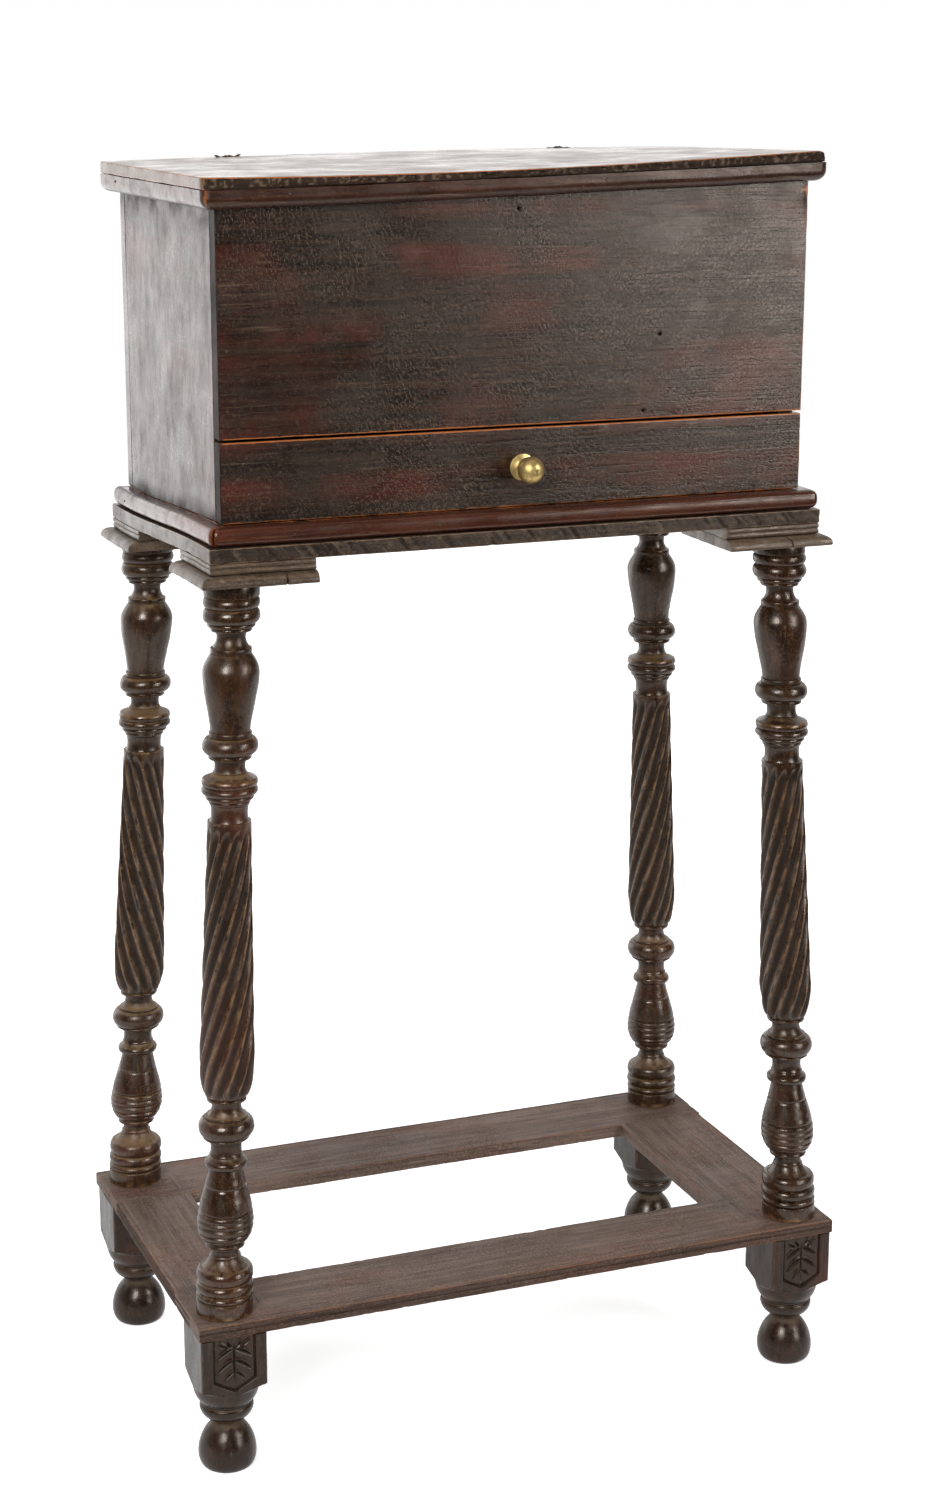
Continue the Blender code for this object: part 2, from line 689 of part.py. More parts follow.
def make_box(group):
    top = LID_LEVEL - SEAT
    board("box_front_board", (-BOX_X, -BOX_Y, FLOOR_LEVEL), (BOX_X, -INNER_Y, top), DARK_WOOD, group)
    back = board("box_back_board", (-BOX_X, INNER_Y, DRAWER_LEVEL), (BOX_X, BOX_Y, top), DARK_WOOD, group)
    slot = 2 * (WIRE_LEG_OFFSET + WIRE_RADIUS + SEAT)
    for side in (-1, 1):
        hole = block(slot, THROUGH * BOARD_THICKNESS, 2 * (WIRE_RADIUS + SEAT))
        cut(back, hole, (side * HINGE_X, BOX_Y, HINGE_LEVEL))
    dado_low = FLOOR_LEVEL - SEAT
    dado_high = FLOOR_LEVEL + FLOOR_THICKNESS + SEAT
    for name, side in (("left", -1), ("right", 1)):
        outer, inner = side * BOX_X, side * INNER_X
        deep = inner + side * DADO_DEPTH
        section = [(outer, DRAWER_LEVEL), (outer, top), (inner, top), (inner, dado_high),
                   (deep, dado_high), (deep, dado_low), (inner, dado_low), (inner, DRAWER_LEVEL)]
        solid(f"box_{name}_side", prism(section, "Y", 2 * (INNER_Y - SEAT)), DARK_WOOD, group, (0, 0, 0))
    floor_x = INNER_X + DADO_DEPTH - SEAT
    floor_y = INNER_Y - SEAT
    board("box_floor", (-floor_x, -floor_y, FLOOR_LEVEL), (floor_x, floor_y, FLOOR_LEVEL + FLOOR_THICKNESS),
          PLAIN_WOOD, group)


# Lid and hinges

def make_lid(group):
    low = Vector((-BOX_X - LID_OVERHANG, -BOX_Y - LID_OVERHANG, LID_LEVEL))
    high = Vector((BOX_X + LID_OVERHANG, BOX_Y + LID_BACK_OVERHANG, LID_LEVEL + LID_THICKNESS))
    shape = block(*(high - low))
    top_edges = [edge for edge in shape.edges if all(point.co.z > 0 for point in edge.verts)]
    bmesh.ops.bevel(shape, geom=top_edges, offset=LID_ARRIS, segments=2, profile=0.5, affect="EDGES")
    lid = solid("lid_board", shape, DARK_WOOD, group, (low + high) / 2)
    slot = 2 * (WIRE_LEG_OFFSET + WIRE_RADIUS + SEAT)
    for side in (-1, 1):
        hole = block(2 * (WIRE_RADIUS + SEAT), slot, THROUGH * LID_THICKNESS)
        cut(lid, hole, (side * HINGE_X, HINGE_Y, LID_LEVEL))
    moulding_strips("lid_moulding", ovolo_profile(), BOX_Y + LID_BACK_OVERHANG, group)


def eye_ring():
    """The eye's ring as (across, along) points, open towards its two legs, which run along +."""
    opening = math.asin(WIRE_LEG_OFFSET / EYE_RADIUS)
    points = []
    for step in range(EYE_STEPS + 1):
        angle = opening + (2 * math.pi - 2 * opening) * step / EYE_STEPS
        points.append((EYE_RADIUS * math.sin(angle), EYE_RADIUS * math.cos(angle)))
    return points


def leg_end(surface, reach):
    """One wire leg's end as (sideways, along) points: out of the surface, bent over and laid flat."""
    flat = surface + SEAT + WIRE_RADIUS
    return [(0.0, surface - WIRE_RADIUS), (0.0, flat - WIRE_RADIUS), (WIRE_RADIUS, flat), (reach, flat)]


def wire(name, points, finish, group, place):
    curve = bpy.data.curves.new(name, "CURVE")
    curve.dimensions = "3D"
    curve.bevel_depth = WIRE_RADIUS
    curve.bevel_resolution = 1
    curve.use_fill_caps = True
    spline = curve.splines.new("POLY")
    spline.points.add(len(points) - 1)
    for point, place_on_wire in zip(spline.points, points):
        point.co = (*place_on_wire, 1.0)
    return place_object(name, curve, finish, group, place)


def make_hinge(name, side, case, lid):
    """Two linked wire eyes. The upper ring turns about the lower ring's wire."""
    lower_surface = LOWER_EYE_Y - INNER_Y
    end = leg_end(lower_surface, LOWER_CLINCH)
    across_ring = [(across, -along, 0.0) for across, along in eye_ring()]
    right = [(WIRE_LEG_OFFSET + out, -along, 0.0) for out, along in end]
    left = [(-x, y, z) for x, y, z in right]
    wire(f"hinge_{name}_lower_eye", right[::-1] + across_ring + left, IRON, case,
         (side * HINGE_X, LOWER_EYE_Y, HINGE_LEVEL))
    end = leg_end(HINGE_DROP + LID_THICKNESS, UPPER_CLINCH)
    upright_ring = [(0.0, across, along) for across, along in eye_ring()]
    back = [(out, WIRE_LEG_OFFSET, along) for out, along in end]
    front = [(-out, -WIRE_LEG_OFFSET, along) for out, along in end]
    wire(f"hinge_{name}_upper_eye", back[::-1] + upright_ring + front, IRON, lid,
         (side * HINGE_X, HINGE_Y, HINGE_LEVEL))


# Drawer

def knob_profile():
    """(distance out from the drawer front, radius) points, from the post's end to the ball's front."""
    neck_end = KNOB_FLANGE_THICKNESS + KNOB_NECK_LENGTH
    sink = math.sqrt(KNOB_BALL_RADIUS ** 2 - KNOB_NECK_RADIUS ** 2)
    ball_centre = neck_end + sink
    points = [
        (-(BOARD_THICKNESS + NUT_THICKNESS + 2 * SEAT), KNOB_POST_RADIUS),
        (SEAT, KNOB_POST_RADIUS),
        (SEAT, KNOB_FLANGE_RADIUS),
        (KNOB_FLANGE_EDGE, KNOB_FLANGE_RADIUS),
        (KNOB_FLANGE_THICKNESS, KNOB_NECK_RADIUS),
        (neck_end, KNOB_NECK_RADIUS),
    ]
    first = 180 - math.degrees(math.asin(KNOB_NECK_RADIUS / KNOB_BALL_RADIUS))
    ball = arc((ball_centre, 0.0), KNOB_BALL_RADIUS, KNOB_BALL_RADIUS, first, KNOB_FLAT_ANGLE)
    return points + ball[1:]


def make_drawer(group):
    front_y = -BOX_Y
    behind = -INNER_Y
    level = DRAWER_LEVEL + SEAT
    panel_low = level + DRAWER_BOTTOM_RAISE
    panel_high = panel_low + DRAWER_BOTTOM_THICKNESS
    outer_x = INNER_X - DRAWER_SIDE_PLAY
    inner_x = outer_x - DRAWER_WALL
    back_y = INNER_Y - DRAWER_BACK_PLAY
    front_high = (BOX_X, behind - SEAT, level + DRAWER_FRONT_HEIGHT)
    front = board("drawer_front", (-BOX_X, front_y, level), front_high, DARK_WOOD, group)
    groove_x = inner_x + DRAWER_GROOVE
    groove = block(2 * groove_x, 2 * DRAWER_GROOVE, DRAWER_BOTTOM_THICKNESS + 2 * SEAT)
    cut(front, groove, (0, behind - SEAT, (panel_low + panel_high) / 2))
    knob_z = level + DRAWER_FRONT_HEIGHT / 2
    post_hole = rod(KNOB_POST_RADIUS + SEAT, THROUGH * BOARD_THICKNESS, KNOB_SIDES, "Y")
    cut(front, post_hole, (0, front_y, knob_z))
    for name, side in (("left", -1), ("right", 1)):
        deep = side * groove_x
        section = [(side * outer_x, level), (side * outer_x, level + DRAWER_SIDE_HEIGHT),
                   (side * inner_x, level + DRAWER_SIDE_HEIGHT), (side * inner_x, panel_high + SEAT),
                   (deep, panel_high + SEAT), (deep, panel_low - SEAT),
                   (side * inner_x, panel_low - SEAT), (side * inner_x, level)]
        length = back_y - behind
        solid(f"drawer_{name}_side", prism(section, "Y", length), PLAIN_WOOD, group,
              (0, (back_y + behind) / 2, 0))
    board("drawer_back", (-inner_x + SEAT, back_y - DRAWER_WALL, panel_high + SEAT),
          (inner_x - SEAT, back_y, level + DRAWER_SIDE_HEIGHT), PLAIN_WOOD, group)
    panel_x = groove_x - SEAT
    board("drawer_bottom", (-panel_x, behind - DRAWER_GROOVE, panel_low), (panel_x, back_y, panel_high),
          PLAIN_WOOD, group)
    make_knob(Vector((0, front_y, knob_z)), behind, group)


def make_knob(place, behind, group):
    shape = turned(knob_profile(), KNOB_SIDES)
    bmesh.ops.rotate(shape, verts=shape.verts, matrix=Matrix.Rotation(math.pi / 2, 3, "X"))
    solid("drawer_knob", shape, BRASS, group, place, smooth=True)
    nut_place = Vector((place.x, behind + NUT_THICKNESS / 2, place.z))
    nut = solid("knob_nut", block(NUT_WIDTH, NUT_THICKNESS, NUT_WIDTH), IRON, group, nut_place)
    cut(nut, rod(KNOB_POST_RADIUS + SEAT, THROUGH * NUT_THICKNESS, KNOB_SIDES, "Y"), nut_place)


def main():
    clear_scene()
    case = empty("case_group", (0, 0, 0))
    lid = empty("lid_hinge_axis", (0, HINGE_Y, HINGE_LEVEL))
    drawer = empty("drawer_slide_axis", (0, -BOX_Y, DRAWER_LEVEL))
    make_stretcher(case)
    for corner in CORNERS:
        make_foot(corner, case)
        make_leg(corner, case)
        make_pad(corner, case)
    make_base(case)
    make_box(case)
    make_lid(lid)
    for name, side in (("left", -1), ("right", 1)):
        make_hinge(name, side, case, lid)
    make_drawer(drawer)


main()
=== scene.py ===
"""The dressed candle box on its stand: worn boards, turned and twisted legs, carved feet, brass and wire.

Lengths are in metres. Levels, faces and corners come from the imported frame, and each
worn piece stands where its plain solid stands.
"""
import json
import math

import bmesh
import bpy
import numpy as np
from mathutils import Matrix, Vector


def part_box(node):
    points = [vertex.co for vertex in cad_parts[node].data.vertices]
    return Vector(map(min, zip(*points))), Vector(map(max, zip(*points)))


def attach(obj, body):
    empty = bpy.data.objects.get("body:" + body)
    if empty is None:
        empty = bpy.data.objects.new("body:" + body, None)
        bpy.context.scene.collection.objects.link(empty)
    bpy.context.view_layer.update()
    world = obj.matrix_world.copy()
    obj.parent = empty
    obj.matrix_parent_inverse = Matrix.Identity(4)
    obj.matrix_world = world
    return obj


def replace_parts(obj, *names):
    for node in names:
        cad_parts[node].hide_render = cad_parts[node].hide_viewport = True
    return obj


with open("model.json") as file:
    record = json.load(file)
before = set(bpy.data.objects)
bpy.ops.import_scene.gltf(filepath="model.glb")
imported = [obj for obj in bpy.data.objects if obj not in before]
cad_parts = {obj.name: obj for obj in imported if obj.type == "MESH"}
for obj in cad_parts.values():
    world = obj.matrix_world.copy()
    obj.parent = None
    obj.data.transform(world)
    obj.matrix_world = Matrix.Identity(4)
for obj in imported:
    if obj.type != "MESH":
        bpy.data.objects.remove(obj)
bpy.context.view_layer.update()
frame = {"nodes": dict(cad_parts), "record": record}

MM = 0.001

# Gap between solids that touch, and thickness of the stretcher
SEAT_GAP = 0.3 * MM
RAIL_THICKNESS = 10.2 * MM

# Which body each node of the frame has
BODY_OF = {node: body for body, nodes in frame["record"]["behaviour"]["bodies"].items() for node in nodes}
CORNERS = {
    "front_left": (-1, -1),
    "front_right": (1, -1),
    "back_left": (-1, 1),
    "back_right": (1, 1),
}

# Faces and levels of the frame
BASE_LOW, BASE_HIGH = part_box("base_board")
BOX_LOW, BOX_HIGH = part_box("box_bottom_board")
FRONT_LOW, FRONT_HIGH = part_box("box_front_board")
LID_LOW, LID_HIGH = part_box("lid_board")
DRAWER_LOW, DRAWER_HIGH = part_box("drawer_front")
KNOB_LOW, KNOB_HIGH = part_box("drawer_knob")
STRETCHER_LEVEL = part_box("stretcher_front_rail")[0].z
LEG_LEVEL = STRETCHER_LEVEL + RAIL_THICKNESS + SEAT_GAP
LEG_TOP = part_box("pad_lower_front_left")[0].z
BACK_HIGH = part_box("box_back_board")[1]
BASE_NOSE = Vector((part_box("base_moulding_right")[1].x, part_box("base_moulding_front")[0].y))
HINGE = next(joint for joint in frame["record"]["behaviour"]["joints"] if joint["name"] == "lid_hinge")
HINGE_X = sum(corner.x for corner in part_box("hinge_right_upper_eye")) / 2
BOX_X = FRONT_HIGH.x
BOX_Y = -FRONT_LOW.y

# Camera, from the photograph's perspective. Angles are in degrees.
CAMERA_PLACE = (-0.6939, -1.7725, 0.9690)
CAMERA_HEADING = -21.77
CAMERA_PITCH = 14.79
CAMERA_ROLL = 0.17
CAMERA_LENS = 65.0

# Turning
TURNING_SIDES = 144
LEG_INSET = 20.5 * MM
SPIGOT_RADIUS = 9 * MM
SPIGOT_BELOW = 30 * MM
SPIGOT_ABOVE = 14 * MM

# Members of a leg, uppermost first: kind, length and greatest radius in millimetres
ABOVE_TWIST = (
    ("drum", 7.8, 18.4),
    ("bead", 8.0, 18.7),
    ("bead", 9.4, 18.9),
    ("taper", 5.8, 15.8),
    ("cove", 10.9, 9.5),
    ("fillet", 3.6, 13.6),
    ("vase", 52.5, 18.8),
    ("fillet", 3.6, 14.3),
    ("torus", 11.6, 18.6),
    ("fillet", 3.0, 14.3),
    ("neck", 9.2, 10.2),
    ("flange", 9.0, 18.7),
    ("bead", 6.0, 18.9),
    ("taper", 6.3, 16.2),
    ("neck", 11.9, 12.3),
)
BELOW_TWIST = (
    ("fillet", 2.3, 13.6),
    ("cove", 10.6, 10.0),
    ("fillet", 1.9, 14.4),
    ("torus", 12.9, 19.1),
    ("taper", 3.2, 16.0),
    ("neck", 10.5, 10.4),
    ("flange", 8.4, 14.6),
    ("pear", 58.4, 19.4),
    ("neck", 6.6, 9.6),
    ("flare", 7.8, 15.8),
    ("bead", 10.0, 19.6),
    ("bead", 7.8, 19.8),
    ("bead", 5.2, 19.7),
    ("drum", 10.5, 19.6),
)

# Millimetres that a leg's uppermost drum is longer, and how dusty each leg is
LONGER_DRUM = {"front_left": 1.8}
DUST = {"front_left": 0.85, "front_right": 0.55, "back_left": 1.15, "back_right": 0.9}

# What the members have in common, in millimetres: swell and steps of the round ones, and ends of the others
BULGES = {"bead": (2.9, 16), "torus": (4.4, 20)}
VASE_END = 13.2
VASE_BELLY_AT = 0.24
FLANGE_TOP = 10.4
FLANGE_EDGE = 1.6
FLARE_BEND = 1.5
TAPER_EDGE = 0.9
TAPER_STEP = 2.1
COVE_WAIST_AT = 0.36
COVE_FLARE = 2.9
NECK_HOLLOW = 1.2

# A pear's outline, as shares of its length and of its belly, and its grooves: drop, depth and half width
PEAR_OUTLINE = (
    (0.0, 0.56), (0.24, 0.735), (0.42, 0.88), (0.56, 0.965), (0.68, 1.0), (0.79, 0.965),
    (0.87, 0.87), (0.92, 0.745), (0.945, 0.66), (0.96, 0.685), (0.985, 0.69), (1.0, 0.62),
)
PEAR_GROOVES = (
    (13.8, 0.7, 0.45), (32.0, 1.1, 0.7), (36.6, 0.9, 0.7),
    (41.2, 1.1, 0.7), (46.6, 1.1, 0.7), (50.2, 0.8, 0.6),
)

# The twist: hollow flutes between raised ridges, on a column that swells to a cup
FLUTES = 12
TWIST_STEPS = 82
COLUMN_RINGS = 124
COLUMN_TOP_RADIUS = 14.7 * MM
COLUMN_CUP_RADIUS = 18.9 * MM
COLUMN_END_RADIUS = 12.6 * MM
COLUMN_CUP_HEIGHT = 26 * MM
FLUTE_DEPTH = 2.1 * MM
FLUTE_RUN_OUT = 9 * MM
FLUTE_RIM = 3.5 * MM
FLUTE_CROWDING = 2.25
LEFT_HANDED = ("back_left",)

# Waves in a leg's surface: height, length and seed
LEG_WAVES = ((0.12 * MM, 9 * MM, 3), (0.1 * MM, 3 * MM, 8))
COLUMN_WELD = 0.005 * MM
LEG_WELD = 0.03 * MM


# Noise and wear

NOISE_PRIMES = np.array((73856093, 19349663, 83492791), dtype=np.int64)


def soft_noise(points, cell, seed=0):
    """Smooth noise from -1 to 1 at each point, on cells of the given size."""
    scaled = np.asarray(points) / cell + 13.7 * (seed + 1)
    base = np.floor(scaled).astype(np.int64)
    part = scaled - base
    ease = part * part * (3.0 - 2.0 * part)
    total = np.zeros(len(scaled))
    for corner in np.ndindex(2, 2, 2):
        mixed = np.bitwise_xor.reduce((base + corner) * NOISE_PRIMES, axis=1)
        mixed = (mixed ^ (mixed >> 15)) * 668265263
        value = ((mixed >> 8) & 0xFFFF) / 32767.5 - 1.0
        total += value * np.prod(np.where(corner, ease, 1.0 - ease), axis=1)
    return total


def rough_noise(points, cell, seed=0):
    """Noise with finer noise on it, from about -1 to 1."""
    points = np.asarray(points)
    coarse = soft_noise(points, cell, seed)
    fine = soft_noise(points, cell / 2.3, seed + 5)
    finest = soft_noise(points, cell / 5.1, seed + 11)
    return (coarse + 0.55 * fine + 0.3 * finest) / 1.4


def hand_made(points, amount, cell, seed):
    """Points moved a little every way, as on hand-made work."""
    return points + amount * np.stack([soft_noise(points, cell, seed + axis) for axis in range(3)], axis=-1)


def smooth_step(low, high, values):
    """0 at the low limit and 1 at the high one, with a soft run between them."""
    share = np.clip((np.asarray(values) - low) / (high - low), 0.0, 1.0)
    return share * share * (3.0 - 2.0 * share)


def bell(away, width):
    """1 where nothing is away, falling softly to 0 within about twice the width."""
    return np.exp(-(away / width) ** 2)


# Meshes

CORNER_SINK = 9 * MM
SINK_FROM = LEG_LEVEL + 60 * MM


def make_mesh(name, points, faces, marks):
    """A mesh with its marks, such as wear and grime: one value of each kind at each point."""
    mesh = bpy.data.meshes.new(name)
    mesh.from_pydata(np.asarray(points).tolist(), [], [list(face) for face in faces])
    for kind, values in marks.items():
        layer = mesh.attributes.new(kind, "FLOAT", "POINT")
        layer.data.foreach_set("value", np.asarray(values, dtype=np.float32))
    return mesh


def shade_mesh(mesh, sharp):
    """Shades a mesh smooth between edges that are sharper than this many degrees."""
    mesh.shade_smooth()
    mesh.set_sharp_from_angle(angle=math.radians(sharp))


def close_mesh(mesh, weld=1e-6, sharp=55):
    """Welds seams, points the faces outwards and shades the mesh smooth between sharp edges."""
    shape = bmesh.new()
    shape.from_mesh(mesh)
    bmesh.ops.remove_doubles(shape, verts=shape.verts, dist=weld)
    bmesh.ops.recalc_face_normals(shape, faces=shape.faces)
    shape.to_mesh(mesh)
    shape.free()
    shade_mesh(mesh, sharp)
    return mesh


def add_object(name, data):
    made = bpy.data.objects.new(name, data)
    bpy.context.scene.collection.objects.link(made)
    return made


def show_piece(mesh, material, body):
    """Shows a finished mesh, with its material, on a body."""
    piece = add_object(mesh.name, mesh)
    mesh.materials.clear()
    mesh.materials.append(material)
    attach(piece, body)
    return piece


def mesh_values(mesh, kind):
    values = np.empty(len(mesh.vertices), dtype=np.float32)
    mesh.attributes[kind].data.foreach_get("value", values)
    return values


def mesh_points(mesh):
    points = np.empty(len(mesh.vertices) * 3, dtype=np.float32)
    mesh.vertices.foreach_get("co", points)
    return points.reshape(-1, 3).astype(float)


def sink_corner(mesh):
    """Lets the back left corner of the base and the box sink, as far as that leg has shortened."""
    points = mesh_points(mesh)
    left = smooth_step(0.9 * BOX_X, -0.9 * BOX_X, points[:, 0])
    back = smooth_step(-BOX_Y, 0.9 * BOX_Y, points[:, 1])
    height = smooth_step(SINK_FROM, LEG_TOP, points[:, 2]) * smooth_step(LID_LOW.z, BOX_HIGH.z, points[:, 2])
    points[:, 2] -= CORNER_SINK * left * back * height
    mesh.vertices.foreach_set("co", points.astype(np.float32).ravel())
    mesh.update()


def finish_piece(mesh, material, node):
    """Shows a finished mesh in place of its node, on its body and with its finish."""
    if BODY_OF[node] == "case":
        sink_corner(mesh)
    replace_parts(show_piece(mesh, material, BODY_OF[node]), node)


def ring_faces(rings, sides, first=0):
    """Faces of a tube of rings, each with the same number of points, closed at both ends."""
    index = np.arange(rings * sides).reshape(rings, sides) + first
    after = np.roll(index, -1, axis=1)
    quads = np.stack((index[:-1], after[:-1], after[1:], index[1:]), axis=-1).reshape(-1, 4)
    return [*quads.tolist(), index[0, ::-1].tolist(), index[-1].tolist()]


# Boards

ARRIS_ZONE = 2.4 * MM
ARRIS_LINES = (0.0, 0.1, 0.25, 0.45, 0.7, 1.0)
EASE_CELL = 14 * MM
CHIP_CELL = 5 * MM
CHIP_REACH = 2.2 * MM
SWAY_CELL = 70 * MM
WEAR_REACH = 1.6 * MM
HOLE_DEPTH = 2.5 * MM
HOLE_LINES = (-1.0, -0.75, -0.45, 0.0, 0.45, 0.75, 1.0)


def grid_lines(low, high, zone, spacing, also=()):
    """Places across a board where its grid has lines, close together along both arrises."""
    near = zone * np.array(ARRIS_LINES)
    count = max(1, round((high - low - 2 * zone) / spacing))
    middle = np.linspace(low + zone, high - zone, count + 1)[1:-1]
    return np.unique(np.concatenate((low + near, middle, also, high - near[::-1])).round(7))


def board_grid(low, high, zone, spacing, also):
    """Points and faces of a closed block whose six faces are fine grids."""
    lines = [grid_lines(low[axis], high[axis], zone, spacing[axis], also.get(axis, ())) for axis in range(3)]
    counts = [len(line) for line in lines]
    skin = np.zeros(counts, dtype=bool)
    for axis in range(3):
        skin[tuple(slice(None) if other != axis else [0, -1] for other in range(3))] = True
    index = np.full(counts, -1)
    index[skin] = np.arange(skin.sum())
    points = np.stack(np.meshgrid(*lines, indexing="ij"), axis=-1)[skin]
    faces = []
    for axis in range(3):
        for end in (0, -1):
            sheet = np.take(index, end, axis=axis)
            quads = np.stack((sheet[:-1, :-1], sheet[1:, :-1], sheet[1:, 1:], sheet[:-1, 1:]), axis=-1)
            outward = (end == -1) != (axis == 1)
            faces.append(quads.reshape(-1, 4) if outward else quads.reshape(-1, 4)[:, ::-1])
    return points, np.concatenate(faces)


def worn_points(points, low, high, ease, chips, sway, seed):
    """Rounds and chips a block's arrises. Gives its points, outward directions and nearness to an arris."""
    depth = np.minimum(points - low, high - points)
    to_arris = np.sort(depth, axis=1)[:, 1]
    radius = (ease * (1.0 + 0.45 * soft_noise(points, EASE_CELL, seed)))[:, None]
    core = np.clip(points, low + radius, high - radius)
    out = points - core
    out /= np.linalg.norm(out, axis=1)[:, None]
    worn = core + out * radius
    bite = np.clip(rough_noise(points, CHIP_CELL, seed + 3) - 0.25, 0.0, 1.0)
    bite *= chips * bell(to_arris, CHIP_REACH)
    wave = sway * soft_noise(points, SWAY_CELL, seed + 7)
    worn += out * (wave - bite)[:, None]
    return worn, out, to_arris


def worm_holes(points, worn, marks, holes):
    """Sinks worm holes, given as (x, height, radius), into a board's front, with painted shade inside them.
    """
    front = points[:, 1].min()
    for x, height, radius in holes:
        away = np.hypot(points[:, 0] - x, points[:, 2] - height) / radius
        inside = smooth_step(1.0, 0.55, away) * (points[:, 1] < front + 1e-6)
        worn[:, 1] += HOLE_DEPTH * inside
        # Painted shade inside each hole
        marks["shade"] = np.maximum(marks["shade"], inside)


def hole_lines(holes, axis):
    """Grid lines across each hole, along X or up."""
    return [hole[axis] + share * hole[2] for hole in holes for share in HOLE_LINES]


def worn_board(node, wood, spacing=(4, 4, 4), ease=0.6, chips=0.5, sway=0.12, also=None, shape=None,
               holes=()):
    """A hand-planed board in place of a plain one. Spacing and sizes are in millimetres.

    The shape function may move the points further. It gets the first points, the worn
    points, the outward directions and the marks.
    """
    low, high = (np.array(corner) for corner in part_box(node))
    seed = sum(ord(letter) for letter in node) % 97
    lines = also or {0: hole_lines(holes, 0), 2: hole_lines(holes, 1)}
    points, faces = board_grid(low, high, ARRIS_ZONE, [gap * MM for gap in spacing], lines)
    worn, out, to_arris = worn_points(points, low, high, ease * MM, chips * MM, sway * MM, seed)
    grime, shade = np.zeros((2, len(points)))
    marks = {"wear": bell(to_arris, WEAR_REACH), "grime": grime, "shade": shade}
    if shape is not None:
        worn = shape(points, worn, out, marks)
    worm_holes(points, worn, marks, holes)
    mesh = make_mesh(f"worn_{node}", worn, faces, marks)
    shade_mesh(mesh, 60)
    finish_piece(mesh, wood, node)


# Shader node helpers

def set_inputs(tree, node, inputs):
    """Gives a node's inputs their values, or links sockets to them."""
    for name, value in inputs.items():
        if isinstance(value, bpy.types.NodeSocket):
            tree.links.new(value, node.inputs[name])
        else:
            node.inputs[name].default_value = value


def add_node(tree, kind, inputs=None, **settings):
    """Adds a node. Inputs hold values, or sockets to link."""
    made = tree.nodes.new(kind)
    for setting, value in settings.items():
        setattr(made, setting, value)
    set_inputs(tree, made, inputs or {})
    return made


def maths(tree, operation, first, second=0.0, clamp=False):
    made = add_node(tree, "ShaderNodeMath", {0: first, 1: second}, operation=operation, use_clamp=clamp)
    return made.outputs[0]


def times(tree, first, second):
    return maths(tree, "MULTIPLY", first, second)


def plus(tree, first, second):
    return maths(tree, "ADD", first, second)


def minus(tree, first, second):
    return maths(tree, "SUBTRACT", first, second)


def remap(tree, value, low, high, to_low=0.0, to_high=1.0):
    """Spreads values between two limits smoothly over another range."""
    made = add_node(tree, "ShaderNodeMapRange", {0: value, 1: low, 2: high, 3: to_low, 4: to_high},
                    interpolation_type="SMOOTHSTEP")
    return made.outputs[0]


def noise(tree, place, scale, detail=4.0, roughness=0.55, distortion=0.0):
    made = add_node(tree, "ShaderNodeTexNoise", {"Vector": place, "Scale": scale, "Detail": detail,
                                                 "Roughness": roughness, "Distortion": distortion})
    return made.outputs["Fac"]


def mark(tree, kind):
    """A mark that the mesh holds at its points."""
    return add_node(tree, "ShaderNodeAttribute", attribute_name=kind).outputs["Fac"]


def blend(tree, share, first, second):
    """Mixes two colours."""
    return add_node(tree, "ShaderNodeMix", {0: share, 6: first, 7: second}, data_type="RGBA").outputs[2]


def paint(tree, tint, layers):
    """Lays tones over a colour, each with its share."""
    for share, tone in layers:
        tint = blend(tree, share, tint, tone)
    return tint


def bump(tree, height, strength, distance):
    made = add_node(tree, "ShaderNodeBump", {"Height": height, "Strength": strength, "Distance": distance})
    return made.outputs["Normal"]


def new_group(name, inputs, outputs):
    """A shader group, what it is given and its output node."""
    group = bpy.data.node_groups.new(name, "ShaderNodeTree")
    for label, kind, value in inputs:
        socket = group.interface.new_socket(label, in_out="INPUT", socket_type=f"NodeSocket{kind}")
        if value is not None:
            socket.default_value = value
    for label in outputs:
        group.interface.new_socket(label, in_out="OUTPUT", socket_type="NodeSocketFloat")
    return group, group.nodes.new("NodeGroupInput").outputs, group.nodes.new("NodeGroupOutput")


def use_group(tree, group, inputs):
    return add_node(tree, "ShaderNodeGroup", inputs, node_tree=group).outputs


# Effects that several finishes share

def make_grain():
    """Wood grain: long streaks, fine pores, short pale dashes and broad figure."""
    group, given, wanted = new_group("wood grain", [("Vector", "Vector", None), ("Waviness", "Float", 0.4)],
                                     ("Streak", "Pore", "Dash", "Figure"))
    place, waviness = given["Vector"], given["Waviness"]
    set_inputs(group, wanted, {
        "Streak": remap(group, noise(group, place, 1.0, 8.0, 0.66, waviness), 0.30, 0.70),
        "Pore": remap(group, noise(group, place, 4.2, 3.0, 0.6), 0.54, 0.68),
        "Dash": remap(group, noise(group, place, 2.6, 4.0, 0.7, waviness), 0.57, 0.72),
        "Figure": remap(group, noise(group, place, 0.22, 3.0, 0.5, waviness), 0.36, 0.64),
    })
    return group


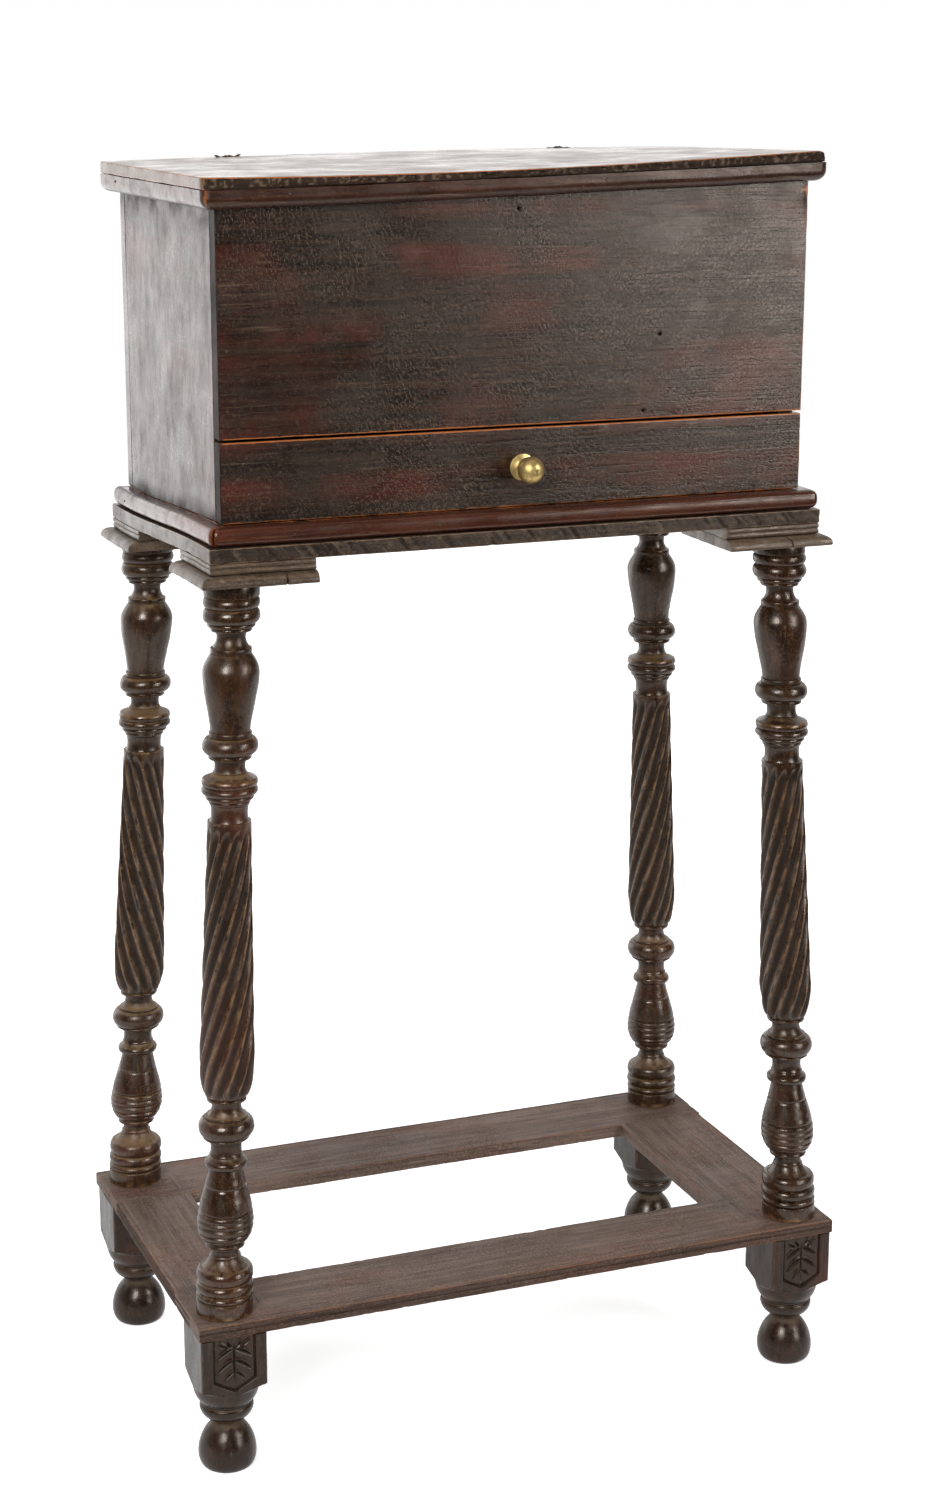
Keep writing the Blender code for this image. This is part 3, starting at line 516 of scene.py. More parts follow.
def make_crazing():
    """Old varnish: a net of fine cracks, small pale flecks and lumps, stronger in patches."""
    group, given, wanted = new_group(
        "crazed varnish", [("Vector", "Vector", None), ("Cells", "Float", 330.0), ("Amount", "Float", 1.0)],
        ("Crack", "Fleck", "Height"))
    place = given["Vector"]
    patches = remap(group, noise(group, place, 15.0, 3.0), 0.34, 0.60, 0.35)
    patches = times(group, patches, given["Amount"])
    cells = add_node(group, "ShaderNodeTexVoronoi", {"Vector": place, "Scale": given["Cells"]},
                     feature="DISTANCE_TO_EDGE")
    crack = times(group, remap(group, cells.outputs["Distance"], 0.11, 0.02), patches)
    flecks = remap(group, noise(group, place, 360.0, 4.0, 0.8), 0.50, 0.66)
    lumps = noise(group, place, 300.0, 4.0, 0.7)
    set_inputs(group, wanted, {
        "Crack": crack,
        "Fleck": times(group, flecks, patches),
        "Height": minus(group, times(group, lumps, patches), times(group, crack, 0.6)),
    })
    return group


def make_rubbing():
    """Where a mark of the mesh, broken up by noise, passes a limit."""
    group, given, wanted = new_group(
        "rubbed or soiled", [("Vector", "Vector", None), ("Mark", "Float", 0.0), ("Cells", "Float", 160.0),
                             ("Limit", "Float", 0.6), ("Softness", "Float", 0.25)], ("Mask",))
    broken = noise(group, given["Vector"], given["Cells"], 5.0, 0.6)
    value = plus(group, given["Mark"], minus(group, broken, 0.5))
    passed = remap(group, value, given["Limit"], plus(group, given["Limit"], given["Softness"]))
    marked = maths(group, "GREATER_THAN", given["Mark"], 0.01)
    set_inputs(group, wanted, {"Mask": times(group, passed, marked)})
    return group


GRAIN = make_grain()
CRAZING = make_crazing()
RUBBING = make_rubbing()


def rubbing(tree, place, kind, cells, limit, softness):
    """Where wear or grime shows."""
    return use_group(tree, RUBBING, {"Vector": place, "Mark": mark(tree, kind), "Cells": cells,
                                     "Limit": limit, "Softness": softness})["Mask"]


# Finishes

# Cells of the grain in one metre
GRAIN_ALONG = 7.0
GRAIN_ACROSS = 190.0


def start_material(name):
    material = bpy.data.materials.new(name)
    material.use_nodes = True
    tree = material.node_tree
    place = add_node(tree, "ShaderNodeTexCoord").outputs["Object"]
    return material, tree, tree.nodes["Principled BSDF"], place


def colour(red, green, blue):
    return red, green, blue, 1.0


WHITE = colour(1.0, 1.0, 1.0)
AMBER = colour(1.0, 0.88, 0.78)
NEARLY_BLACK = colour(0.007, 0.004, 0.003)
ORANGE = (0.30, 0.095, 0.028)
TAN = (0.17, 0.12, 0.075)


def along(tree, place, axis, across=GRAIN_ACROSS, length=GRAIN_ALONG):
    """Stretches places so that the grain runs along one axis of the object."""
    scale = [across] * 3
    scale["XYZ".index(axis)] = length
    return add_node(tree, "ShaderNodeMapping", {"Vector": place, "Scale": scale}).outputs["Vector"]


def old_wood(name, axis, tones, gloss, crazed=1.0, relief=0.2, wear_limit=0.75, soil_limit=0.25, shine=0.5,
             across=GRAIN_ACROSS, length=GRAIN_ALONG, stain_axis="X", stained=0.35):
    """Stained wood under old varnish: grain, red patches, crazing, rubbed arrises, dust, and painted shade
    where the mesh's shade mark is set.
    """
    dark, warm, red, worn, soil = (colour(*tone) for tone in tones)
    material, tree, shader, place = start_material(name)
    grain = use_group(tree, GRAIN, {"Vector": along(tree, place, axis, across, length), "Waviness": 0.6})
    craze = use_group(tree, CRAZING, {"Vector": place, "Amount": crazed})
    rubbed = rubbing(tree, place, "wear", 130.0, wear_limit, 0.3)
    soiled = rubbing(tree, place, "grime", 210.0, soil_limit, 0.5)
    shaded = mark(tree, "shade")
    patches = remap(tree, noise(tree, place, 8.0, 5.0, 0.6), 0.46, 0.66)
    tint = paint(tree, blend(tree, grain["Streak"], dark, warm), (
        (times(tree, patches, grain["Figure"]), red),
        (times(tree, grain["Dash"], 0.40), soil),
        (times(tree, craze["Fleck"], 0.42), soil),
        (times(tree, grain["Pore"], 0.55), NEARLY_BLACK),
        (times(tree, craze["Crack"], 0.45), NEARLY_BLACK),
        (times(tree, soiled, 0.7), soil),
        # Painted shade: the shade mark darkens the colour towards black
        (shaded, NEARLY_BLACK),
        (rubbed, worn),
    ))
    stains = noise(tree, along(tree, place, stain_axis, 90.0, 34.0), 1.0, 8.0, 0.75)
    stains = times(tree, remap(tree, stains, 0.40, 0.70), stained)
    # Painted shade together with real stains: both dim and roughen the reflection
    dirt_and_shade = maths(tree, "MAXIMUM", shaded, stains)
    keeps = minus(tree, 1.0, times(tree, dirt_and_shade, 0.9))
    dull = plus(tree, times(tree, soiled, 0.25), times(tree, dirt_and_shade, 0.4))
    cloudy = remap(tree, noise(tree, place, 24.0, 4.0, 0.65), 0.3, 0.7, gloss - 0.05, gloss + 0.08)
    rough = minus(tree, plus(tree, cloudy, dull), times(tree, rubbed, 0.05))
    height = plus(tree, times(tree, grain["Streak"], 0.5), craze["Height"])
    height = minus(tree, height, times(tree, grain["Pore"], 0.5))
    set_inputs(tree, shader, {
        "Base Color": tint,
        "Specular IOR Level": times(tree, keeps, shine),
        "Specular Tint": AMBER,
        "Roughness": maths(tree, "MAXIMUM", rough, 0.12, clamp=True),
        "Normal": bump(tree, height, relief, 0.35 * MM),
    })
    return material


def bare_wood(name, axis, tones):
    """Unfinished softwood, darkened by age and handling."""
    pale, warm, pore, stain, soil = (colour(*tone) for tone in tones)
    material, tree, shader, place = start_material(name)
    grain = use_group(tree, GRAIN, {"Vector": along(tree, place, axis, 130.0, 5.0), "Waviness": 0.9})
    soiled = rubbing(tree, place, "wear", 60.0, 0.55, 0.6)
    stains = remap(tree, noise(tree, place, 16.0, 4.0, 0.6), 0.45, 0.75)
    tint = paint(tree, blend(tree, grain["Streak"], pale, warm), (
        (times(tree, grain["Pore"], 0.5), pore),
        (times(tree, stains, 0.5), stain),
        (times(tree, soiled, 0.45), soil),
    ))
    height = minus(tree, grain["Streak"], times(tree, grain["Pore"], 0.6))
    set_inputs(tree, shader, {
        "Base Color": tint,
        "Roughness": remap(tree, stains, 0.0, 1.0, 0.78, 0.6),
        "Normal": bump(tree, height, 0.5, 0.2 * MM),
    })
    return material


def old_metal(name, tones, smooth, rough, metallic):
    """Handled metal: bright where it is touched, dull and dark in its hollows."""
    bright, dull, dark = (colour(*tone) for tone in tones)
    material, tree, shader, place = start_material(name)
    soiled = rubbing(tree, place, "grime", 420.0, 0.2, 0.55)
    cloudy = remap(tree, noise(tree, place, 260.0, 5.0, 0.65), 0.35, 0.68)
    scratch = noise(tree, along(tree, place, "Z", 2400.0, 300.0), 1.0, 3.0, 0.6)
    base = remap(tree, cloudy, 0.0, 1.0, smooth, rough)
    set_inputs(tree, shader, {
        "Base Color": blend(tree, soiled, blend(tree, cloudy, bright, dull), dark),
        "Metallic": metallic,
        "Roughness": maths(tree, "ADD", base, times(tree, soiled, 0.25), clamp=True),
        "Normal": bump(tree, plus(tree, cloudy, scratch), 0.25, 0.1 * MM),
    })
    return material


# Tones of the old woods: dark, warm, red, worn and soil
BOX_TONES = ((0.0046, 0.0027, 0.0019), (0.0285, 0.0160, 0.0108), (0.062, 0.0130, 0.0088), ORANGE,
             (0.150, 0.102, 0.066))
SIDE_TONES = (*BOX_TONES[:3], (0.085, 0.042, 0.026), BOX_TONES[4])
# The lid's tones are lighter than the box's, partly a painted sheen for the glare on the lid's top; its front
# edge is painted darker in shape_lid
LID_TONES = ((0.055, 0.030, 0.018), (0.165, 0.100, 0.062), (0.150, 0.062, 0.036), ORANGE, (0.20, 0.14, 0.09))
BASE_TONES = ((0.011, 0.0062, 0.0040), (0.052, 0.031, 0.0190), (0.055, 0.023, 0.0140), (0.13, 0.082, 0.050),
              (0.165, 0.115, 0.074))
RED_TONES = ((0.016, 0.0060, 0.0045), (0.045, 0.0155, 0.0090), (0.075, 0.0190, 0.0090), ORANGE, TAN)
NOSE_TONES = ((0.020, 0.0060, 0.0036), (0.064, 0.0170, 0.0084), (0.105, 0.0240, 0.0095), ORANGE, TAN)
PAD_TONES = ((0.032, 0.0205, 0.0132), (0.098, 0.065, 0.043), (0.080, 0.040, 0.0235), (0.21, 0.140, 0.088),
             (0.20, 0.142, 0.090))
LEG_TONES = ((0.0062, 0.0025, 0.0011), (0.038, 0.0150, 0.0058), (0.050, 0.0145, 0.0070),
             (0.135, 0.072, 0.032), (0.175, 0.108, 0.052))
FOOT_TONES = ((0.0045, 0.0021, 0.0013), (0.022, 0.0105, 0.0064), (0.042, 0.0115, 0.0070),
              (0.115, 0.048, 0.026), (0.085, 0.058, 0.036))
RAIL_TONES = ((0.076, 0.049, 0.038), (0.152, 0.103, 0.081), (0.160, 0.078, 0.056), (0.165, 0.076, 0.045),
              (0.260, 0.188, 0.140))

# Pale, warm, pore, stain and soil, then bright, dull and dark
BARE_TONES = ((0.27, 0.165, 0.085), (0.16, 0.088, 0.042), (0.09, 0.05, 0.027), (0.10, 0.06, 0.036),
              (0.11, 0.07, 0.045))
BRASS_TONES = ((0.60, 0.44, 0.18), (0.40, 0.28, 0.105), (0.09, 0.06, 0.025))
IRON_TONES = ((0.085, 0.075, 0.07), (0.07, 0.04, 0.025), (0.03, 0.018, 0.012))

TURNED = {"wear_limit": 0.80, "soil_limit": 0.30, "across": 150.0, "length": 40.0, "stain_axis": "Z",
          "stained": 0.2}

BOX_WOOD = {
    "X": old_wood("varnished box wood X", "X", BOX_TONES, 0.21, 1.0, 0.22, stained=0.2),
    "Y": old_wood("varnished box wood Y", "Y", SIDE_TONES, 0.28, 1.0, 0.40, shine=0.46, stain_axis="Z",
                  stained=0.28),
}
LID_WOOD = old_wood("varnished lid wood", "X", LID_TONES, 0.27, 0.6, 0.12, stained=0.2)
BASE_WOOD = old_wood("rough base wood", "X", BASE_TONES, 0.30, 1.0, 0.3, shine=0.6)
MOULDING_WOOD = {axis: old_wood(f"polished moulding wood {axis}", axis, RED_TONES, 0.23, 0.4, 0.12)
                 for axis in "XY"}
NOSE_WOOD = {axis: old_wood(f"polished nosing wood {axis}", axis, NOSE_TONES, 0.19, 0.3, 0.12)
             for axis in "XY"}
PAD_WOOD = old_wood("worn pad wood", "X", PAD_TONES, 0.30, 1.0, 0.3, shine=0.7)
TURNED_WOOD = old_wood("waxed turned wood", "Z", LEG_TONES, 0.23, 0.7, 0.12, shine=0.60, **TURNED)
FOOT_WOOD = old_wood("waxed foot wood", "Z", FOOT_TONES, 0.25, 0.4, 0.12, shine=0.4, **TURNED)
STRETCHER_WOOD = {axis: old_wood(f"rubbed stretcher wood {axis}", axis, RAIL_TONES, 0.55, 1.0, 0.3, shine=0.3)
                  for axis in "XY"}
PLAIN_WOOD = {axis: bare_wood(f"bare softwood {axis}", axis, BARE_TONES) for axis in "XY"}
BRASS = old_metal("handled brass", BRASS_TONES, 0.36, 0.55, 0.9)
IRON = old_metal("rusted iron wire", IRON_TONES, 0.45, 0.7, 0.7)


# Turned work

def smooth_profile(points, steps):
    """A soft curve through points, by Catmull-Rom spans."""
    spots = np.array([points[0], *points, points[-1]], dtype=float)
    result = []
    for index in range(1, len(spots) - 2):
        before, start, end, after = spots[index - 1:index + 3]
        slope = end - before
        square = 2 * before - 5 * start + 4 * end - after
        cube = 3 * start - before - 3 * end + after
        for share in np.arange(steps) / steps:
            result.append(tuple((2 * start + slope * share + square * share ** 2 + cube * share ** 3) / 2))
    result.append(tuple(spots[-1]))
    return result


def arc_points(centre, out, along_arc, first, last, steps):
    """Points on an ellipse, from one angle to another."""
    angles = np.radians(np.linspace(first, last, steps + 1))
    return [(centre[0] + along_arc * math.cos(angle), centre[1] + out * math.sin(angle)) for angle in angles]


def swelling(length, start, belly, end, belly_at):
    """A rounded shoulder to the belly, and an S-shaped run down to the thin end."""
    points = []
    for share in np.linspace(0.0, 1.0, 33):
        if share < belly_at:
            climb = math.sin(share / belly_at * math.pi / 2)
            radius = start + (belly - start) * climb
        else:
            fall = (share - belly_at) / (1 - belly_at)
            bend = 0.6 * (1 + math.cos(math.pi * fall)) / 2 + 0.4 * (1 - fall ** 1.6)
            radius = end + (belly - end) * bend
        points.append((share * length, radius))
    return points


def pear(length, belly):
    """A pear that widens downwards, with a scribed line and a band of grooves, and turns in at its foot."""
    points = []
    for share, part in smooth_profile(PEAR_OUTLINE, 14):
        radius = belly * part
        for groove, depth, width in PEAR_GROOVES:
            radius -= depth * bell(share * length - groove, width)
        points.append((share * length, radius))
    return points


def flare_points(length, radius, steps):
    """A hollow run from a flange's thin top out to a radius."""
    return [(share * length, FLANGE_TOP + (radius - FLANGE_TOP) * share ** FLARE_BEND)
            for share in np.linspace(0.0, 1.0, steps)]


def cove_points(length, radius):
    """A hollow that flares more below its waist than above it."""
    points = []
    for share in np.linspace(0.0, 1.0, 16):
        below = share > COVE_WAIST_AT
        bend = (share - COVE_WAIST_AT) / (1 - COVE_WAIST_AT if below else COVE_WAIST_AT)
        points.append((share * length, radius + (COVE_FLARE if below else 1.0) * bend * bend))
    return points


def member_points(kind, length, radius):
    """Profile of one turned member, as (drop from its top, radius) points in millimetres."""
    half = length / 2
    if kind in BULGES:
        swell, steps = BULGES[kind]
        return arc_points((half, radius - swell), swell, half, 180, 0, steps)
    if kind == "vase":
        return swelling(length, VASE_END, radius, VASE_END, VASE_BELLY_AT)
    if kind == "pear":
        return pear(length, radius)
    if kind == "flange":
        edge = 0.2 * length + 0.9
        middle = radius - FLANGE_EDGE
        rim = arc_points((length - edge, middle), FLANGE_EDGE, edge, 180, 0, 10)
        return flare_points(length - 2 * edge, middle, 10) + rim
    if kind == "flare":
        return flare_points(length, radius, 12)
    if kind == "taper":
        middle = radius - TAPER_EDGE
        upper = arc_points((half / 2, middle), TAPER_EDGE, half / 2, 180, 0, 6)
        lower = arc_points((1.5 * half, middle - TAPER_STEP), TAPER_EDGE, half / 2, 180, 0, 6)
        return upper + lower
    if kind == "cove":
        return cove_points(length, radius)
    if kind == "neck":
        return arc_points((half, radius + NECK_HOLLOW), NECK_HOLLOW, half, 180, 360, 10)
    ease = min(0.6, half / 2)
    top = arc_points((ease, radius - ease), ease, ease, 180, 90, 3)
    foot = arc_points((length - ease, radius - ease), ease, ease, 90, 0, 3)
    return top + foot


# Least distance between a profile's points, reach of its mean radius, and how far out of that a full mark is
CLOSEST = 0.02 * MM
MEAN_REACH = 5 * MM
FULL_MARK = 2.6 * MM


def members_profile(members, top):
    """Joins members, uppermost first, into (height, radius) points in metres."""
    points = []
    for kind, length, radius in members:
        for drop, out in member_points(kind, length, radius):
            point = (top - drop * MM, out * MM)
            if not points or math.dist(point, points[-1]) > CLOSEST:
                points.append(point)
        top -= length * MM
    return points


def profile_marks(profile, dusty=True):
    """Wear on what stands out of a turned profile, dust in its recesses and on what faces up, and painted
    shade in its recesses where they do not face up.
    """
    heights, radii = np.array(profile).T
    widening = np.gradient(radii)
    steps = np.hypot(np.gradient(heights), widening) + 1e-9
    near = bell(heights[:, None] - heights[None, :], MEAN_REACH) * steps[None, :]
    mean = (near * radii[None, :]).sum(axis=1) / near.sum(axis=1)
    wear = np.clip((radii - mean) / FULL_MARK, 0.0, 1.0)
    recess = np.clip((mean - radii) / FULL_MARK, 0.0, 1.0)
    upward = np.clip(-widening / steps, 0.0, 1.0) if dusty else np.zeros(len(radii))
    grime = np.clip(0.65 * upward + 0.5 * recess, 0.0, 1.0)
    # Painted shade in recesses, less where they face up
    shade = 0.55 * recess * (1.0 - upward)
    return {"wear": wear, "grime": grime, "shade": shade}


def turn_profile(profile, sides=TURNING_SIDES, dusty=True):
    """Points, faces and marks of (height, radius) points, lowest first, turned round Z."""
    heights, radii = np.array(profile).T
    angles = np.arange(sides) * 2 * math.pi / sides
    points = np.empty((len(profile), sides, 3))
    points[:, :, 0] = radii[:, None] * np.cos(angles)
    points[:, :, 1] = radii[:, None] * np.sin(angles)
    points[:, :, 2] = heights[:, None]
    marks = {kind: np.repeat(values, sides) for kind, values in profile_marks(profile, dusty).items()}
    return points.reshape(-1, 3), ring_faces(len(profile), sides), marks


def new_geometry_tree(name, inputs):
    """A geometry tree, what it is given and what it makes."""
    tree = bpy.data.node_groups.new(name, "GeometryNodeTree")
    tree.interface.new_socket("Mesh", in_out="OUTPUT", socket_type="NodeSocketGeometry")
    for label, kind in inputs:
        tree.interface.new_socket(label, in_out="INPUT", socket_type=f"NodeSocket{kind}")
    return tree, tree.nodes.new("NodeGroupInput").outputs, tree.nodes.new("NodeGroupOutput").inputs


def run_tree(tree, name, values, places=None):
    """The plain mesh that a geometry tree makes of these values and of a mesh of places."""
    holder = add_object(name, places or bpy.data.meshes.new(name))
    modifier = holder.modifiers.new(name, "NODES")
    modifier.node_group = tree
    for item in tree.interface.items_tree:
        if item.in_out == "INPUT" and item.name in values:
            modifier[item.identifier] = values[item.name]
    depsgraph = bpy.context.evaluated_depsgraph_get()
    mesh = bpy.data.meshes.new_from_object(holder.evaluated_get(depsgraph), depsgraph=depsgraph)
    mesh.name = name
    bpy.data.objects.remove(holder, do_unlink=True)
    return mesh


def twisted_column_tree():
    """A tapering column with hollow, round-ended flutes that wind round it down to a cup."""
    measures = ("Length", "Top Radius", "Cup Radius", "End Radius", "Cup Height", "Flutes", "Turns",
                "Flute Depth", "Run Out", "Rim")
    tree, given, wanted = new_geometry_tree("twisted column", (
        ("Sides", "Int"), ("Rings", "Int"), *[(label, "Float") for label in measures], ("Wood", "Material")))

    def calc(operation, first, second=0.0, clamp=False):
        return maths(tree, operation, first, second, clamp)

    grid = add_node(tree, "GeometryNodeMeshGrid", {
        "Size X": 1.0, "Size Y": 1.0, "Vertices X": calc("ADD", given["Sides"], 1.0),
        "Vertices Y": given["Rings"]})
    position = add_node(tree, "GeometryNodeInputPosition").outputs[0]
    place = add_node(tree, "ShaderNodeSeparateXYZ", {0: position})
    round_share = calc("ADD", place.outputs["X"], 0.5)
    rise = calc("ADD", place.outputs["Y"], 0.5)
    length = given["Length"]
    drop = calc("MULTIPLY", length, calc("SUBTRACT", 1.0, rise))

    straight = calc("SUBTRACT", length, given["Cup Height"])
    widening = calc("MULTIPLY", calc("SUBTRACT", given["Cup Radius"], given["Top Radius"]),
                    calc("DIVIDE", drop, straight))
    shaft = calc("ADD", given["Top Radius"], widening)
    into_cup = calc("DIVIDE", calc("SUBTRACT", drop, straight), given["Cup Height"], clamp=True)
    bowl = calc("SQRT", calc("SUBTRACT", 1.0, calc("MULTIPLY", into_cup, into_cup)))
    cup = calc("ADD", given["End Radius"],
               calc("MULTIPLY", bowl, calc("SUBTRACT", given["Cup Radius"], given["End Radius"])))
    in_cup = calc("GREATER_THAN", drop, straight)
    radius = calc("ADD", shaft, calc("MULTIPLY", in_cup, calc("SUBTRACT", cup, shaft)))

    from_end = calc("MINIMUM", calc("SUBTRACT", drop, given["Rim"]), calc("SUBTRACT", length, drop))
    to_end = calc("SUBTRACT", 1.0, calc("DIVIDE", from_end, given["Run Out"], clamp=True))
    in_flute = calc("FRACT", calc("MULTIPLY", round_share, given["Flutes"]))
    across = calc("ABSOLUTE", calc("SUBTRACT", in_flute, 0.5))
    across = calc("MINIMUM", calc("MULTIPLY", across, FLUTE_CROWDING), 1.0)
    scoop = calc("ADD", calc("MULTIPLY", across, across), calc("MULTIPLY", to_end, to_end))
    hollow = calc("MAXIMUM", calc("SUBTRACT", 1.0, scoop), 0.0)
    radius = calc("SUBTRACT", radius, calc("MULTIPLY", hollow, given["Flute Depth"]))

    turn = calc("MULTIPLY", given["Turns"], calc("DIVIDE", drop, length))
    angle = calc("MULTIPLY", calc("SUBTRACT", round_share, turn), 2 * math.pi)
    spot = add_node(tree, "ShaderNodeCombineXYZ", {
        "X": calc("MULTIPLY", radius, calc("COSINE", angle)),
        "Y": calc("MULTIPLY", radius, calc("SINE", angle)),
        "Z": calc("MULTIPLY", rise, length)})
    ridge = calc("MULTIPLY", across, calc("SUBTRACT", 1.0, to_end))
    noted = grid.outputs["Mesh"]
    for label, value in (("hollow", hollow), ("ridge", ridge)):
        stored = add_node(tree, "GeometryNodeStoreNamedAttribute", {
            "Geometry": noted, "Name": label, "Value": value}, data_type="FLOAT", domain="POINT")
        noted = stored.outputs["Geometry"]
    bent = add_node(tree, "GeometryNodeSetPosition", {"Geometry": noted, "Position": spot.outputs["Vector"]})
    welded = add_node(tree, "GeometryNodeMergeByDistance", {
        "Geometry": bent.outputs["Geometry"], "Distance": COLUMN_WELD})
    real = add_node(tree, "GeometryNodeRealizeInstances", {"Geometry": welded.outputs["Geometry"]})
    shown = add_node(tree, "GeometryNodeSetMaterial", {
        "Geometry": real.outputs["Geometry"], "Material": given["Wood"]})
    tree.links.new(shown.outputs["Geometry"], wanted["Mesh"])
    return tree


def leg_axis(corner):
    """Foot and top of a leg's axis."""
    side, facing = CORNERS[corner]
    low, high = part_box(f"foot_{corner}")
    foot = Vector(((low.x + high.x) / 2, (low.y + high.y) / 2, LEG_LEVEL))
    edge_y = BASE_LOW.y if facing < 0 else BASE_HIGH.y
    top = Vector((side * (BASE_HIGH.x - LEG_INSET), edge_y - facing * LEG_INSET, LEG_TOP))
    return foot, top


def make_leg(corner, tree):
    """A turned leg on its splayed axis, with members above and below a twisted column."""
    foot, top = leg_axis(corner)
    length = top.z - foot.z
    kind, drum, radius = ABOVE_TWIST[0]
    upper = ((kind, drum + LONGER_DRUM.get(corner, 0.0), radius), *ABOVE_TWIST[1:])
    column_top = length - sum(member[1] for member in upper) * MM
    column_foot = sum(member[1] for member in BELOW_TWIST) * MM
    above = members_profile(upper, length)[::-1]
    below = members_profile(BELOW_TWIST, column_foot)[::-1]
    above = [(column_top, COLUMN_TOP_RADIUS), *above,
             (length, SPIGOT_RADIUS), (length + SPIGOT_ABOVE, SPIGOT_RADIUS)]
    below = [(-SPIGOT_BELOW, SPIGOT_RADIUS), (0.0, SPIGOT_RADIUS), *below,
             (column_foot, COLUMN_END_RADIUS)]
    hand = -1 if corner in LEFT_HANDED else 1
    column = run_tree(tree, f"twist_{corner}", {
        "Sides": TURNING_SIDES, "Rings": COLUMN_RINGS, "Length": column_top - column_foot,
        "Top Radius": COLUMN_TOP_RADIUS, "Cup Radius": COLUMN_CUP_RADIUS, "End Radius": COLUMN_END_RADIUS,
        "Cup Height": COLUMN_CUP_HEIGHT, "Flutes": float(FLUTES),
        "Turns": hand * TWIST_STEPS / TURNING_SIDES, "Flute Depth": FLUTE_DEPTH,
        "Run Out": FLUTE_RUN_OUT, "Rim": FLUTE_RIM, "Wood": TURNED_WOOD})
    hollow = mesh_values(column, "hollow")
    points = [mesh_points(column) + (0.0, 0.0, column_foot)]
    faces = [list(face.vertices) for face in column.polygons]
    marks = {
        "wear": [0.95 * smooth_step(0.50, 0.92, mesh_values(column, "ridge"))],
        "grime": [0.27 + 0.05 * smooth_step(0.6, 0.2, hollow)],
        # Painted shade in the flutes' hollows
        "shade": [0.64 * smooth_step(0.25, 0.95, hollow)],
    }
    count = len(points[0])
    for profile, open_end in ((below, "top"), (above, "foot")):
        part_points, part_faces, part_marks = turn_profile(profile)
        part_faces.pop(-1 if open_end == "top" else -2)
        faces += [[index + count for index in face] for face in part_faces]
        points.append(part_points)
        for kind, values in part_marks.items():
            marks[kind].append(values)
        count += len(part_points)
    bpy.data.meshes.remove(column)
    points = np.concatenate(points)
    share = np.clip(points[:, 2] / length, 0.0, 1.0)
    points[:, 0] += foot.x + (top.x - foot.x) * share
    points[:, 1] += foot.y + (top.y - foot.y) * share
    points[:, 2] += foot.z
    worn_off = sum(rise * soft_noise(points, cell, seed) for rise, cell, seed in LEG_WAVES)
    points[:, 0] += worn_off
    points[:, 1] -= worn_off
    marks = {kind: np.concatenate(values) for kind, values in marks.items()}
    marks["grime"] = np.clip(marks["grime"] * DUST[corner], 0.0, 1.0)
    mesh = close_mesh(make_mesh(f"turned_leg_{corner}", points, faces, marks), LEG_WELD)
    finish_piece(mesh, TURNED_WOOD, f"leg_{corner}")


# Feet

# Sizes in millimetres
CORNER_EASE = 26
PANEL_HALF = 15.8
PANEL_FOOT = 74.0
PANEL_TIP = 65.4
PANEL_SINK = 1.5
PANEL_SLOPE = 1.3
PANEL_REACH = 4.0
CARVED_STEP = 0.42
PLAIN_STEP = 1.3
CARVED_ROWS = 104
PLAIN_ROWS = 30
BOWL_ROWS = 24

# Along and out directions of a foot's four faces, the front one first
FOOT_FACES = ((1, 0, 0, -1), (0, 1, 1, 0), (-1, 0, 0, 1), (0, -1, -1, 0))

# Ball, neck and ring of a foot, lowest first: height and radius
FOOT_TURNING = (
    (0.0, 15.0), (0.6, 16.6), (2.0, 18.2), (4.5, 19.5), (7.5, 20.2), (10.5, 20.4), (14.0, 20.2),
    (18.0, 19.4), (22.0, 18.1), (26.0, 16.2), (29.5, 13.7), (32.0, 11.2), (33.4, 9.7), (34.4, 9.0),
    (35.3, 8.9), (36.0, 10.2), (37.2, 13.0), (39.5, 16.1), (42.5, 18.1), (45.5, 18.9), (47.6, 18.6),
    (48.5, 17.5), (49.3, 17.4), (50.0, 18.3), (50.5, 18.6), (51.0, 18.7),
)

# Bowl of a foot, from its ring up to the block's corners
FOOT_BOWL = (
    (51.0, 18.7), (52.3, 20.0), (54.5, 21.3), (57.3, 22.4), (60.0, 23.0),
    (62.8, 23.6), (64.6, 25.0), (66.2, 27.6), (67.4, 30.4), (68.2, 33.6),
)

# Cuts of the sprig on a front foot: start, bend and end as (across, height), then width and depth
STEM = ((0, 101), (0, 88), (0, 70), 2.2, 1.6)
LEAVES = (
    ((1.2, 96.8), (6, 96.4), (12.6, 90.2), 3.8, 1.7),
    ((1.0, 88.0), (6, 87.4), (12.2, 80.2), 4.0, 1.7),
    ((0.8, 79.4), (3.6, 78.6), (7.4, 73.8), 2.8, 1.3),
    ((1.5, 98.6), (4, 100.6), (5.2, 104.5), 2.4, 1.3),
    ((3.4, 98.0), (8, 99.4), (11.6, 103.0), 2.6, 1.3),
)
LEAF_RIM_UP = 1.9


def groove_depth(across, height, cut):
    """Depth of one V-shaped cut along a bent line, at points of the face, in millimetres."""
    start, bend, end = (np.array(point) for point in cut[:3])
    width, depth = cut[3:]
    deepest = np.zeros(len(across))
    for share in np.linspace(0.0, 1.0, 26):
        x, z = (1 - share) ** 2 * start + 2 * share * (1 - share) * bend + share ** 2 * end
        body = math.sin(math.pi * (0.12 + 0.82 * share)) ** 0.6
        away = np.hypot(across - x, height - z) / (width / 2 * body)
        deepest = np.maximum(deepest, depth * body * np.clip(1.0 - away, 0.0, 1.0))
    return deepest


